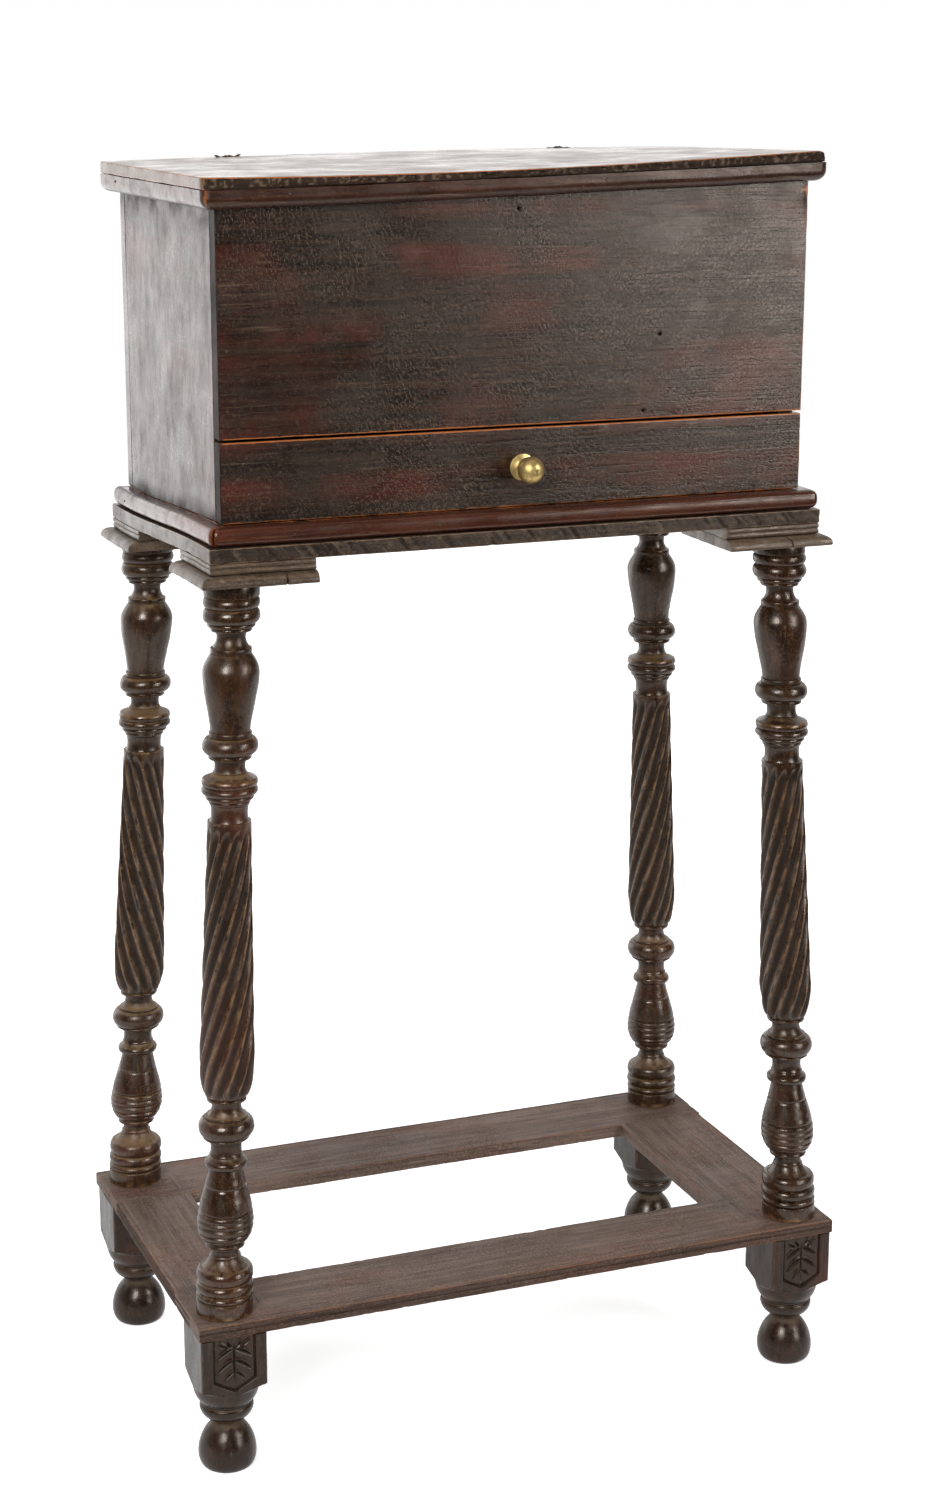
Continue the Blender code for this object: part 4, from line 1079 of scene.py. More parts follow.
def carving(across, height):
    """How deep the sunk shield and its sprig lie below the face of a front foot, in millimetres."""
    tip = PANEL_TIP + (PANEL_FOOT - PANEL_TIP) * (np.abs(across) / PANEL_HALF) ** 1.15
    inside = np.minimum(PANEL_HALF - np.abs(across), height - tip)
    sunk = PANEL_SINK * smooth_step(0.0, PANEL_SLOPE, inside)
    sunk += 0.7 * bell(inside - PANEL_SLOPE, 0.6)
    sunk += 0.35 * bell(np.abs(across) - PANEL_HALF - 2.2, 0.45) * (height > PANEL_FOOT - PANEL_REACH)
    sunk += groove_depth(across, height, STEM)
    for start, bend, end, width, depth in LEAVES:
        for side in (-1, 1):
            turned = [(side * x, z) for x, z in (start, bend, end)]
            sunk += groove_depth(across, height, (*turned, width, depth))
            rim = [(x, z + LEAF_RIM_UP) for x, z in turned]
            sunk -= 0.45 * groove_depth(across, height, (*rim, width * 1.1, depth))
    return np.where(inside > -PANEL_REACH, sunk, 0.0)


def make_foot(corner):
    """A square block, carved at the front of the stand, that turns into a bowl, a neck and a ball."""
    low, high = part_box(f"foot_{corner}")
    half = (high.x - low.x) / 2 / MM
    height = high.z / MM
    carved = CORNERS[corner][1] < 0
    directions = []
    for face, (along_x, along_y, out_x, out_y) in enumerate(FOOT_FACES):
        step = CARVED_STEP if carved and face == 0 else PLAIN_STEP
        for share in np.linspace(-1.0, 1.0, round(2 * half / step), endpoint=False):
            directions.append((share * along_x + out_x, share * along_y + out_y, face))
    directions = np.array(directions)
    unit = directions[:, :2] / np.linalg.norm(directions[:, :2], axis=1)[:, None]
    square = half / (np.abs(unit) ** CORNER_EASE).sum(axis=1) ** (1 / CORNER_EASE)
    bowl_heights, bowl_radii = np.array(FOOT_BOWL).T
    arch = np.interp(square, bowl_radii, bowl_heights)

    turning = smooth_profile(FOOT_TURNING, 4)
    rings = [(np.full(len(unit), z), np.full(len(unit), r)) for z, r in turning]
    for share in np.linspace(0.0, 1.0, BOWL_ROWS)[1:]:
        z = bowl_heights[0] + (arch - bowl_heights[0]) * share
        rings.append((z, np.minimum(np.interp(z, bowl_heights, bowl_radii), square)))
    for share in np.linspace(0.0, 1.0, CARVED_ROWS if carved else PLAIN_ROWS)[1:]:
        rings.append((arch + (height - arch) * share, square))
    heights = np.array([ring[0] for ring in rings])
    radii = np.array([ring[1] for ring in rings])
    points = np.stack((unit[:, 0] * radii, unit[:, 1] * radii, heights), axis=-1)

    wear, grime, shade = np.zeros((3, *radii.shape))
    turned_marks = profile_marks([(z * MM, r * MM) for z, r in turning])
    for values, kind in ((wear, "wear"), (grime, "grime"), (shade, "shade")):
        values[:len(turning)] = turned_marks[kind][:, None]
    to_arch = np.abs(heights - arch)
    on_block = heights > arch - 0.01
    to_edge = half - np.minimum(np.abs(points[:, :, 0]), np.abs(points[:, :, 1]))
    wear = np.maximum(wear, np.where(on_block, bell(to_edge, 2.0), 0.0))
    wear = np.maximum(wear, 0.7 * bell(to_arch, 0.8))
    if carved:
        front = (directions[:, 2] == 0)[None, :] & on_block
        sunk = carving(points[front][:, 0], points[front][:, 2])
        points[front, 1] += sunk
        # Painted shade in the carving's deeper cuts
        shade[front] = np.maximum(shade[front], 0.85 * smooth_step(1.3, 2.8, sunk))
        wear[front] *= smooth_step(0.9, 0.2, sunk)
    flat = hand_made(points.reshape(-1, 3) * MM, 0.1 * MM, 6 * MM, 20)
    flat[:, 2] = np.clip(flat[:, 2], 0.0, high.z)
    flat[:, 0] += (low.x + high.x) / 2
    flat[:, 1] += (low.y + high.y) / 2
    marks = {"wear": wear.reshape(-1), "grime": grime.reshape(-1), "shade": shade.reshape(-1)}
    mesh = make_mesh(f"carved_foot_{corner}", flat, ring_faces(len(points), len(unit)), marks)
    finish_piece(close_mesh(mesh, sharp=40), FOOT_WOOD, f"foot_{corner}")


# Pads

PAD_CRACKS = {"front_left": 0.72, "front_right": 0.60}
PAD_FLARE = 7.5 * MM
PAD_LIP = 1.8 * MM
REED_DEPTH = 1.1 * MM
CRACK_WIDTH = 0.009
CRACK_DEPTH = 3.2 * MM


def tile_ring(cracks):
    """Places round a tile as shares of its two sides, with more of them where an edge has split."""
    even = np.linspace(0.0, 1.0, 37)[:-1]
    front = np.unique(np.concatenate([even, *[crack + np.linspace(-0.02, 0.02, 13) for crack in cracks]]))
    ring = [(share, 0.0) for share in front]
    ring += [(1.0, share) for share in even]
    ring += [(1.0 - share, 1.0) for share in even]
    ring += [(0.0, 1.0 - share) for share in even]
    return np.array(ring)


def stack_tile(node, steps, corner, ease, cracks=()):
    """A tile whose two outer edges follow (height, projection) steps, with eased corners and splits."""
    low, high = (np.array(point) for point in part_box(node))
    side, facing = CORNERS[corner]
    reach = max(projection for height, projection in steps)
    ring = tile_ring(cracks)
    split = np.zeros(len(ring))
    for crack in cracks:
        away = np.abs(ring[:, 0] - crack) / CRACK_WIDTH
        split += (ring[:, 1] == 0.0) * np.clip(1 - away, 0, 1)
    rows, wear, grime = [], [], []
    for height, projection in steps:
        back = reach - projection
        row_low = low[:2] + (back * (side < 0), back * (facing < 0))
        row_high = high[:2] - (back * (side > 0), back * (facing > 0))
        spots = row_low + ring * (row_high - row_low)
        core = np.clip(spots, row_low + ease, row_high - ease)
        out = spots - core
        length = np.linalg.norm(out, axis=1)[:, None]
        spots = core + out / length * ease
        spots -= out / length * (split * CRACK_DEPTH)[:, None]
        rows.append(np.column_stack((spots, np.full(len(spots), height))))
        wear.append(np.full(len(spots), 0.55 * (projection > reach - 0.4 * MM)))
        grime.append(np.full(len(spots), 0.35 * (projection < reach - 0.5 * MM)))
    points = hand_made(np.concatenate(rows), 0.25 * MM, 7 * MM, 31)
    points[:, 2] = np.clip(points[:, 2], low[2], high[2])
    marks = {"wear": np.concatenate(wear), "grime": np.concatenate(grime)}
    mesh = make_mesh(f"worn_{node}", points, ring_faces(len(rows), len(ring)), marks)
    finish_piece(close_mesh(mesh, sharp=50), PAD_WOOD, node)


def make_pad(corner):
    """The two tiles of a pad: a reeded one over one that flares to a lip."""
    low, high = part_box(f"pad_upper_{corner}")
    reeds = []
    for share in np.linspace(0.0, 1.0, 40):
        swell = abs(math.sin(2 * math.pi * share)) ** 0.4
        reeds.append((low.z + (high.z - low.z) * share, (swell - 1.0) * REED_DEPTH))
    stack_tile(f"pad_upper_{corner}", reeds, corner, 0.8 * MM)
    low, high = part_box(f"pad_lower_{corner}")
    lip = low.z + PAD_LIP
    edge = [(low.z, PAD_FLARE - 0.5 * MM), (low.z + 0.5 * MM, PAD_FLARE), (lip, PAD_FLARE)]
    for angle in np.radians(np.linspace(0, 90, 14)[1:]):
        edge.append((lip + (high.z - lip) * math.sin(angle), PAD_FLARE * math.cos(angle)))
    cracks = [PAD_CRACKS[corner]] if corner in PAD_CRACKS else []
    stack_tile(f"pad_lower_{corner}", edge, corner, 1.0 * MM, cracks)


# Mouldings

# Angles round a front strip's corner, from its mitre
MITRE_ANGLES = (45.5, 56, 68, 80)
NOSE_FLATNESS = 0.72
NOSE_INNER = 1.5 * MM


def moulding_strip(node, section, wood, back_end=None, round_share=0.35, gap=0.0, shape=None):
    """One strip of a moulding, mitred at the front corners and rounded there by wear.

    The section holds (distance out from the box, height) points. A front strip has no back end.
    """
    out, height = np.array(section).T
    rounding = out * round_share
    reach_x = BOX_X + out - rounding
    reach_y = BOX_Y + out - rounding
    rows = []
    front = back_end is None
    side = -1 if node.endswith("left") else 1

    def corner_row(which, angle):
        angle = math.radians(angle)
        x = which * (reach_x + rounding * math.cos(angle))
        y = -(reach_y + rounding * math.sin(angle))
        return np.column_stack((x, y, height))

    if front:
        rows += [corner_row(-1, angle) + (gap, 0, 0) for angle in MITRE_ANGLES]
        for share in np.linspace(0.0, 1.0, 200):
            x = -reach_x + gap + (2 * reach_x - gap) * share
            rows.append(np.column_stack((x, -(BOX_Y + out), height)))
        rows += [corner_row(1, angle) for angle in MITRE_ANGLES[::-1]]
    else:
        rows += [corner_row(side, 90 - angle) for angle in MITRE_ANGLES]
        for share in np.linspace(0.0, 1.0, 110):
            y = -reach_y + (back_end + reach_y) * share
            rows.append(np.column_stack((side * (BOX_X + out), y, height)))
    points = hand_made(np.concatenate(rows), 0.22 * MM, 26 * MM, len(node))
    count = len(rows)
    station = np.repeat(np.arange(count), len(section))
    from_mitre = np.minimum(station, count - 1 - station) if front else station
    marks = {"wear": 0.9 * bell(from_mitre, 2.5), "grime": np.zeros(len(points))}
    if shape is not None:
        points = shape(points, marks)
    mesh = make_mesh(f"worn_{node}", points, ring_faces(count, len(section)), marks)
    finish_piece(close_mesh(mesh, sharp=45), wood, node)


def bullnose_section():
    """Section of the base's moulding."""
    low, high = BOX_LOW.z, BOX_HIGH.z
    half = (high - low) / 2
    reach = -BASE_NOSE.y - BOX_Y
    points = [(SEAT_GAP, low), (NOSE_INNER, low)]
    for angle in np.radians(np.linspace(-90, 90, 25)):
        out = math.cos(angle) ** NOSE_FLATNESS
        up = math.copysign(abs(math.sin(angle)) ** NOSE_FLATNESS, angle)
        points.append((reach - half + half * out, low + half + half * up))
    return points + [(NOSE_INNER, high), (SEAT_GAP, high)]


# Lid

OVOLO_ROUND = 7 * MM
OVOLO_INNER = 1 * MM
LID_ROUNDING = 0.7
PIT_DEPTH = 1.3 * MM
LEFT_CORNER = 5 * MM
RIGHT_CORNER = 10 * MM

# The lid's warp, at its front and back edges
FRONT_SINK = -3.3 * MM
FRONT_RISE = 11.5 * MM
BACK_SINK = -4.5 * MM
BACK_RISE = 5.5 * MM
BACK_CROWN = 1.5 * MM
EDGE_THINNING = 0.3 * MM
MIDDLE_THINNING = 2.7 * MM


def lid_shares(points):
    """Shares of the lid's width from the left and of its depth from the front."""
    share = np.clip((points[:, 0] - LID_LOW.x) / (LID_HIGH.x - LID_LOW.x), 0.0, 1.0)
    depth = np.clip((points[:, 1] - LID_LOW.y) / (LID_HIGH.y - LID_LOW.y), 0.0, 1.0)
    return share, depth


def lid_lift(points):
    """How far the old lid has sunk at its left end and risen at its right front corner."""
    share, depth = lid_shares(points)
    front = FRONT_SINK + FRONT_RISE * share ** 1.25
    back = BACK_SINK + BACK_RISE * share + BACK_CROWN * np.sin(math.pi * share)
    return front + (back - front) * depth


def lid_thinning(points):
    """How much thinner than the rest the lid has been planed towards its front edge."""
    share, depth = lid_shares(points)
    return (EDGE_THINNING + MIDDLE_THINNING * np.sin(math.pi * share)) * (1.0 - depth) ** 1.5


def round_corner(points, spots):
    """Moves spots near the lid's two front corners in, so that the corners are round in plan."""
    radius = np.where(points[:, 0] > 0, RIGHT_CORNER, LEFT_CORNER)
    in_x = np.maximum(radius - (LID_HIGH.x - np.abs(points[:, 0])), 0.0)
    in_y = np.maximum(radius - (points[:, 1] - LID_LOW.y), 0.0)
    far = np.hypot(in_x, in_y) + 1e-9
    pull = 1.0 - np.maximum(in_x, in_y) / far
    spots[:, 0] -= np.sign(points[:, 0]) * in_x * pull
    spots[:, 1] += in_y * pull


def ovolo_section():
    """Section of the lid's moulding."""
    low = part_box("lid_moulding_front")[0].z
    high = LID_LOW.z - SEAT_GAP
    reach = BOX_LOW.y - LID_LOW.y
    points = [(OVOLO_INNER, low)]
    for angle in np.radians(np.linspace(-90, 0, 15)):
        points.append((reach - OVOLO_ROUND + OVOLO_ROUND * math.cos(angle),
                       low + OVOLO_ROUND + OVOLO_ROUND * math.sin(angle)))
    for share in np.linspace(0.0, 1.0, 5)[1:]:
        points.append((reach, low + OVOLO_ROUND + (high - low - OVOLO_ROUND) * share))
    return points + [(OVOLO_INNER, high)]


def shape_lid(points, worn, out, marks):
    """Rough, pitted front edge with painted shade on it, round front corners and the warp of an old lid."""
    front = smooth_step(0.4, 0.9, -out[:, 1])
    rise = (points[:, 2] - LID_LOW.z) / (LID_HIGH.z - LID_LOW.z)
    share = lid_shares(points)[0]
    pits = np.clip(rough_noise(points * (0.7, 1.0, 1.0), 2.4 * MM, 41) - 0.05, 0, 1)
    pits *= smooth_step(0.15, 0.45, rise) * smooth_step(0.12, 0.3, share)
    worn = worn - out * (front * PIT_DEPTH * pits)[:, None]
    round_corner(points, worn)
    to_end = np.clip((LID_HIGH.x - points[:, 0]) / RIGHT_CORNER, 0.0, 1.0)
    nose = 0.45 + 0.55 * np.sqrt(1.0 - (1.0 - to_end) ** 2)
    worn[:, 2] = LID_LOW.z + (worn[:, 2] - LID_LOW.z) * nose
    ticks = smooth_step(0.16, 0.30, rough_noise(points * (1.0, 1.0, 0.5), 1.5 * MM, 47))
    ticks *= front * (rise > 0.2)
    marks["grime"] += 0.6 * ticks
    # Painted shade: the lid's front edge darker than its top, darker still in the pits and lighter at the
    # pale ticks
    marks["shade"] = front * (0.86 + 0.1 * smooth_step(0.1, 0.3, pits)) * (1.0 - 0.42 * ticks)
    marks["wear"] *= np.where((rise < 0.5) & (front > 0.05), 0.2, 1.0)
    marks["wear"] += 0.35 * front * smooth_step(0.85, 1.0, rise) * smooth_step(0.75, 0.5, share)
    worn[:, 2] += lid_lift(points) - rise * lid_thinning(points)
    return worn


def shape_lid_strip(points, marks):
    """Bends a strip of the lid's moulding with the lid."""
    points[:, 2] += lid_lift(points)
    return points


# How far down a box board gives way to the lid, and how far painted shade reaches from the lid and from the
# base
TOP_EASE = 30 * MM
TOP_CLEARANCE = 0.4 * MM
LID_SHADE = (42 * MM, 12 * MM)
BASE_SHADE = 16 * MM
EDGE_BAND = 3 * MM
RUBBED_DOWN = 9.7 * MM
# Painted shade on the left ends of the front board and the drawer front, where their joints with the side lie
# in shadow
DARK_END = 0.85


def under_lid(points, worn, out, marks):
    """Takes a box board's top down where the lid has sunk, with painted shade below the lid's moulding and
    above the base's moulding.
    """
    x, y, z = points.T
    near_top = smooth_step(FRONT_HIGH.z - TOP_EASE, FRONT_HIGH.z, z)
    worn[:, 2] -= near_top * (np.clip(-lid_lift(points), 0.0, None) + TOP_CLEARANCE)
    # Painted shade in bands under the lid's moulding and over the base's moulding, stronger on the sides and
    # broken up by noise
    dirt_and_shade = smooth_step(FRONT_HIGH.z - LID_SHADE[0], FRONT_HIGH.z - LID_SHADE[1], z)
    dirt_and_shade = np.maximum(dirt_and_shade, smooth_step(BOX_HIGH.z + BASE_SHADE, BOX_HIGH.z, z))
    dirt_and_shade *= np.where(np.abs(x) > BOX_X - EDGE_BAND, 0.8, 0.25)
    dirt_and_shade *= np.clip(0.45 + 0.6 * rough_noise(points, 18 * MM, 71), 0.0, 1.0)
    # Painted shade on the front board's left end, where its joint with the side lies in shadow
    left_end = (x < 1e-5 - BOX_X) & (y < FRONT_HIGH.y + 1e-5)
    marks["shade"] = np.where(left_end, DARK_END, dirt_and_shade)
    front_foot = (y < FRONT_LOW.y + EDGE_BAND) * bell(z - FRONT_LOW.z, 1.3 * MM)
    corner = bell(x - BOX_X + EDGE_BAND, 6 * MM) * bell(z - FRONT_HIGH.z + RUBBED_DOWN, 3 * MM)
    marks["wear"] *= 1.0 - 0.75 * bell(x + BOX_X, 2 * MM)
    marks["wear"] += 0.3 * front_foot + 0.9 * corner
    return worn


CUT_DEPTH = 0.6 * MM


def shape_base(points, worn, out, marks):
    """Tool marks along the base board's front edge, which is darker, with painted shade in the cuts."""
    edge = smooth_step(0.4, 0.9, -out[:, 1])
    slant = np.column_stack((points[:, 0] + 0.8 * points[:, 2], points[:, 1], 0.25 * points[:, 2]))
    cuts = np.clip(rough_noise(slant, 2.6 * MM, 23) - 0.05, 0, 1)
    worn = worn - out * (edge * CUT_DEPTH * cuts)[:, None]
    marks["grime"] += 0.45 * edge * smooth_step(0.05, 0.3, rough_noise(slant, 3.3 * MM, 29))
    # Darker along the whole front edge, and painted shade in the tool cuts
    marks["shade"] = edge * (0.3 + 0.5 * smooth_step(0.1, 0.4, cuts))
    return worn


# Stretcher

RAIL_BEVEL = 2.2 * MM
SCRATCH_IN = 4.2 * MM
SCRATCH_HALF = 0.7 * MM
SCRATCH_DEPTH = 0.55 * MM
SCRATCH_LINES = (-1.2, -0.7, -0.35, 0.0, 0.35, 0.7, 1.2)
FASCIA_DOWN = 5.4 * MM
FASCIA_HALF = 0.8 * MM
FASCIA_DEPTH = 0.7 * MM
FASCIA_LINES = (-1.2, -0.6, 0.0, 0.6, 1.2)


def rail_shape(axis, side):
    """A scratched line along a rail's outer edge, with its arris taken off, and painted shade on that edge
    and in its fascia groove.
    """
    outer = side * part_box("stretcher_back_rail")[1][axis]

    def shape(points, worn, out, marks):
        inward = side * (outer - points[:, axis])
        below = STRETCHER_LEVEL + RAIL_THICKNESS - points[:, 2]
        bevel = np.clip(RAIL_BEVEL - inward - below, 0, None) * 0.5
        on_edge = side * out[:, axis] > 0.7
        line = bell(inward - SCRATCH_IN, SCRATCH_HALF) * (out[:, 2] > 0.7)
        fascia = bell(below - FASCIA_DOWN, FASCIA_HALF) * on_edge
        worn[:, 2] -= bevel + SCRATCH_DEPTH * line
        worn[:, axis] -= side * (bevel + FASCIA_DEPTH * fascia)
        marks["grime"] = np.maximum(marks["grime"], 0.25 * np.maximum(line, fascia))
        marks["wear"] = np.maximum(marks["wear"], 0.9 * smooth_step(0.1 * MM, 0.8 * MM, bevel))
        # Painted shade: the outer edge face darker than the top, darkest in the fascia groove
        marks["shade"] = np.maximum(0.5 * on_edge, 0.8 * fascia)
        return worn
    return shape


def make_rail(name, axis, side):
    """A rail of the stretcher, with grid lines close together where it is scratched."""
    node = f"stretcher_{name}_rail"
    low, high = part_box(node)
    outer = side * max(abs(low[axis]), abs(high[axis]))
    scratch = [outer - side * (SCRATCH_IN + step * MM) for step in SCRATCH_LINES]
    fascia = [high.z - FASCIA_DOWN - step * MM for step in FASCIA_LINES]
    spacing = (2.5, 5, 2.5) if axis == 1 else (5, 2.5, 2.5)
    worn_board(node, STRETCHER_WOOD["X" if axis == 1 else "Y"], spacing, 0.9, 1.3, 0.2,
               {axis: scratch, 2: fascia}, rail_shape(axis, side))


def make_peg(node):
    """A whittled peg whose head stands a little proud."""
    low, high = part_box(node)
    radius = (high.x - low.x) / 2
    profile = [(low.z, radius), (high.z - 0.2 * MM, radius), (high.z + 0.3 * MM, radius * 0.8),
               (high.z + 0.5 * MM, 0.0002)]
    points, faces, marks = turn_profile(profile, 14, False)
    points = hand_made(points, 0.25 * MM, 4 * MM, 51)
    points[:, 0] += (low.x + high.x) / 2
    points[:, 1] += (low.y + high.y) / 2
    mesh = make_mesh(f"whittled_{node}", points, faces, marks)
    finish_piece(close_mesh(mesh), STRETCHER_WOOD["X"], node)


# Brass and wire

# Ball, stem and flange of the knob, in millimetres: distance out from the drawer's front, and radius
KNOB_BALL = 9.0
KNOB_STEM = (
    (-16.5, 2.4), (0.2, 2.4), (0.25, 8.6), (0.7, 9.0), (1.3, 8.9), (1.8, 7.6),
    (2.2, 6.0), (3.0, 4.7), (4.5, 4.2), (6.2, 4.3), (7.0, 5.0),
)
KNOB_DIMPLE = ((-0.22, 1.8), (-0.34, 1.2), (-0.38, 0.6), (-0.4, 0.05))
KNOB_SIDES = 64


def make_knob():
    """A brass knob: flange, neck and a ball with a dimple in its front."""
    centre_z = (KNOB_LOW.z + KNOB_HIGH.z) / 2
    face = DRAWER_LOW.y
    reach = (face - KNOB_LOW.y) / MM
    profile = list(KNOB_STEM)
    for angle in np.radians(np.linspace(142, 14, 30)):
        profile.append((reach - KNOB_BALL + KNOB_BALL * math.cos(angle), KNOB_BALL * math.sin(angle)))
    profile += [(reach + out, radius) for out, radius in KNOB_DIMPLE]
    profile = [(out * MM, radius * MM) for out, radius in profile]
    points, faces, marks = turn_profile(profile, KNOB_SIDES, False)
    placed = np.column_stack((points[:, 0], face - points[:, 2], centre_z + points[:, 1]))
    mesh = make_mesh("turned_brass_knob", placed, faces, marks)
    finish_piece(close_mesh(mesh), BRASS, "drawer_knob")


WIRE_RADIUS = 0.8 * MM
EYE_RADIUS = 2.8 * MM
WIRE_LEG = 1.0 * MM
WIRE_SIDES = 12
CLINCH_BEND = 2 * MM
CLINCH_DROP = 1.1 * MM
LOWER_CLINCH = 9 * MM
UPPER_CLINCH = 10 * MM
TIP_RISE = {"left": 1.6 * MM, "right": 0.2 * MM}


def wire_tube(path, radius):
    """Points and faces of a round wire along a path, tapered to its two ends."""
    path = np.array(path)
    tangents = np.gradient(path, axis=0)
    tangents /= np.linalg.norm(tangents, axis=1)[:, None]
    normal = Vector(tangents[0]).orthogonal().normalized()
    angles = np.arange(WIRE_SIDES) * 2 * math.pi / WIRE_SIDES
    rows = []
    for index, (spot, tangent) in enumerate(zip(path, tangents)):
        tangent = Vector(tangent)
        normal = (normal - tangent * normal.dot(tangent)).normalized()
        beside = tangent.cross(normal)
        from_end = min(index, len(path) - 1 - index)
        size = radius * min(1.0, 0.35 + 0.16 * from_end)
        rows.append(spot + size * (np.outer(np.cos(angles), normal) + np.outer(np.sin(angles), beside)))
    return np.concatenate(rows), ring_faces(len(rows), WIRE_SIDES)


def eye_path(reach, clinch):
    """One wire eye as (across, along, aside) points: leg, ring and leg, with both ends bent aside."""
    opening = math.asin(WIRE_LEG / EYE_RADIUS)
    ring = [(EYE_RADIUS * math.sin(angle), EYE_RADIUS * math.cos(angle), 0.0)
            for angle in np.linspace(opening, 2 * math.pi - opening, 25)]
    legs = []
    for hand in (1, -1):
        across = hand * WIRE_LEG
        bend_at = reach - CLINCH_BEND
        straight = [(across, along, 0.0) for along in np.linspace(EYE_RADIUS + 1.5 * MM, bend_at, 5)]
        bend = [(across, bend_at + CLINCH_BEND * math.sin(angle), hand * CLINCH_BEND * (1 - math.cos(angle)))
                for angle in np.linspace(0.3, math.pi / 2, 5)]
        flat = [(across, reach, hand * aside) for aside in np.linspace(3.5 * MM, clinch, 7)]
        legs.append(straight + bend + flat)
    return smooth_profile(legs[0][::-1] + ring + legs[1], 3)


def make_hinge(side):
    """Two linked wire eyes: one clinched inside the back board, one on the lid's top."""
    x = (1 if side == "right" else -1) * HINGE_X
    axis_y, level = HINGE["pos_m"][1], HINGE["pos_m"][2]
    ring_y = axis_y - EYE_RADIUS
    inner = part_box("box_back_board")[0].y - WIRE_RADIUS - 0.3 * MM
    lower = [(x + across + aside, ring_y - along, level)
             for across, along, aside in eye_path(ring_y - inner, LOWER_CLINCH)]
    on_top = LID_HIGH.z + WIRE_RADIUS
    upper = np.array([(x + aside, axis_y + across, level + along)
                      for across, along, aside in eye_path(on_top - level, UPPER_CLINCH)])
    upper[:, 2] += lid_lift(upper) * smooth_step(level + EYE_RADIUS, LID_LOW.z, upper[:, 2])
    from_legs = np.abs(upper[:, 0] - x)
    upper[:, 2] -= CLINCH_DROP * smooth_step(0.5 * MM, 5 * MM, from_legs)
    upper[:, 2] += TIP_RISE[side] * smooth_step(UPPER_CLINCH - 5 * MM, UPPER_CLINCH, from_legs)
    for eye, path in (("lower", lower), ("upper", upper)):
        node = f"hinge_{side}_{eye}_eye"
        points, faces = wire_tube(path, WIRE_RADIUS)
        mesh = make_mesh(f"bent_{node}", points, faces, {"grime": np.zeros(len(points))})
        finish_piece(close_mesh(mesh), IRON, node)


NAIL_RADIUS = 0.9 * MM
NAIL_HEIGHT = 0.45 * MM
NAIL_SEED = 4

# Nails in from a board's end, up and down from its edges, down from the lid, and as shares of a strip
NAIL_IN = 6 * MM
NAIL_UP = 18 * MM
NAIL_DOWN = 26 * MM
LID_NAIL_DOWN = 4 * MM
FRONT_STRIP_NAILS = (-0.78, -0.3, 0.26, 0.74)
SIDE_STRIP_NAIL = 0.75


def nail_tree():
    """A small flat nail head on each point of a mesh, set square to the point's facing."""
    tree, given, wanted = new_geometry_tree("nail heads", (
        ("Places", "Geometry"), ("Radius", "Float"), ("Height", "Float"), ("Seed", "Int"),
        ("Iron", "Material")))
    head = add_node(tree, "GeometryNodeMeshCone", {
        "Vertices": 12, "Side Segments": 2, "Fill Segments": 1, "Depth": given["Height"],
        "Radius Top": times(tree, given["Radius"], 0.6), "Radius Bottom": given["Radius"]}, fill_type="NGON")
    facing = add_node(tree, "GeometryNodeInputNamedAttribute", {"Name": "facing"}, data_type="FLOAT_VECTOR")
    turned = add_node(tree, "FunctionNodeAlignRotationToVector", {"Vector": facing.outputs[0]}, axis="Z")
    size = add_node(tree, "FunctionNodeRandomValue", {"Min": 0.8, "Max": 1.2, "Seed": given["Seed"]},
                    data_type="FLOAT")
    spread = add_node(tree, "GeometryNodeInstanceOnPoints", {
        "Points": given["Places"], "Instance": head.outputs["Mesh"], "Rotation": turned.outputs[0],
        "Scale": size.outputs[1]})
    real = add_node(tree, "GeometryNodeRealizeInstances", {"Geometry": spread.outputs["Instances"]})
    shown = add_node(tree, "GeometryNodeSetMaterial", {
        "Geometry": real.outputs[0], "Material": given["Iron"]})
    tree.links.new(shown.outputs["Geometry"], wanted["Mesh"])
    return tree


def nail_places():
    """Places and facings of the nails in each body."""
    case, lid, drawer = [], [], []
    nose_level = (BOX_LOW.z + BOX_HIGH.z) / 2
    for side in (-1, 1):
        for z in np.linspace(FRONT_LOW.z + NAIL_UP, FRONT_HIGH.z - NAIL_DOWN, 4):
            case.append(((side * (BOX_X - NAIL_IN), FRONT_LOW.y, z), (0, -1, 0)))
            case.append(((side * (BOX_X - NAIL_IN), BACK_HIGH.y, z), (0, 1, 0)))
    for x in FRONT_STRIP_NAILS:
        case.append(((x * BOX_X, BASE_NOSE.y, nose_level), (0, -1, 0)))
        front = np.array((x * BOX_X, LID_LOW.y, LID_LOW.z - LID_NAIL_DOWN))
        lid.append((front + (0, 0, lid_lift(front[None])[0]), (0, -1, 0)))
    for side in (-1, 1):
        end = np.array((side * LID_HIGH.x, SIDE_STRIP_NAIL * BOX_Y, LID_LOW.z - LID_NAIL_DOWN))
        lid.append((end + (0, 0, lid_lift(end[None])[0]), (side, 0, 0)))
        case.append(((side * BASE_NOSE.x, SIDE_STRIP_NAIL * BOX_Y, nose_level), (side, 0, 0)))
        low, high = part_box("drawer_left_side" if side < 0 else "drawer_right_side")
        for z in (0.3, 0.7):
            face = low.x if side < 0 else high.x
            drawer.append(((face, high.y - 5 * MM, low.z + z * (high.z - low.z)), (side, 0, 0)))
    return {"case": case, "lid": lid, "drawer": drawer}


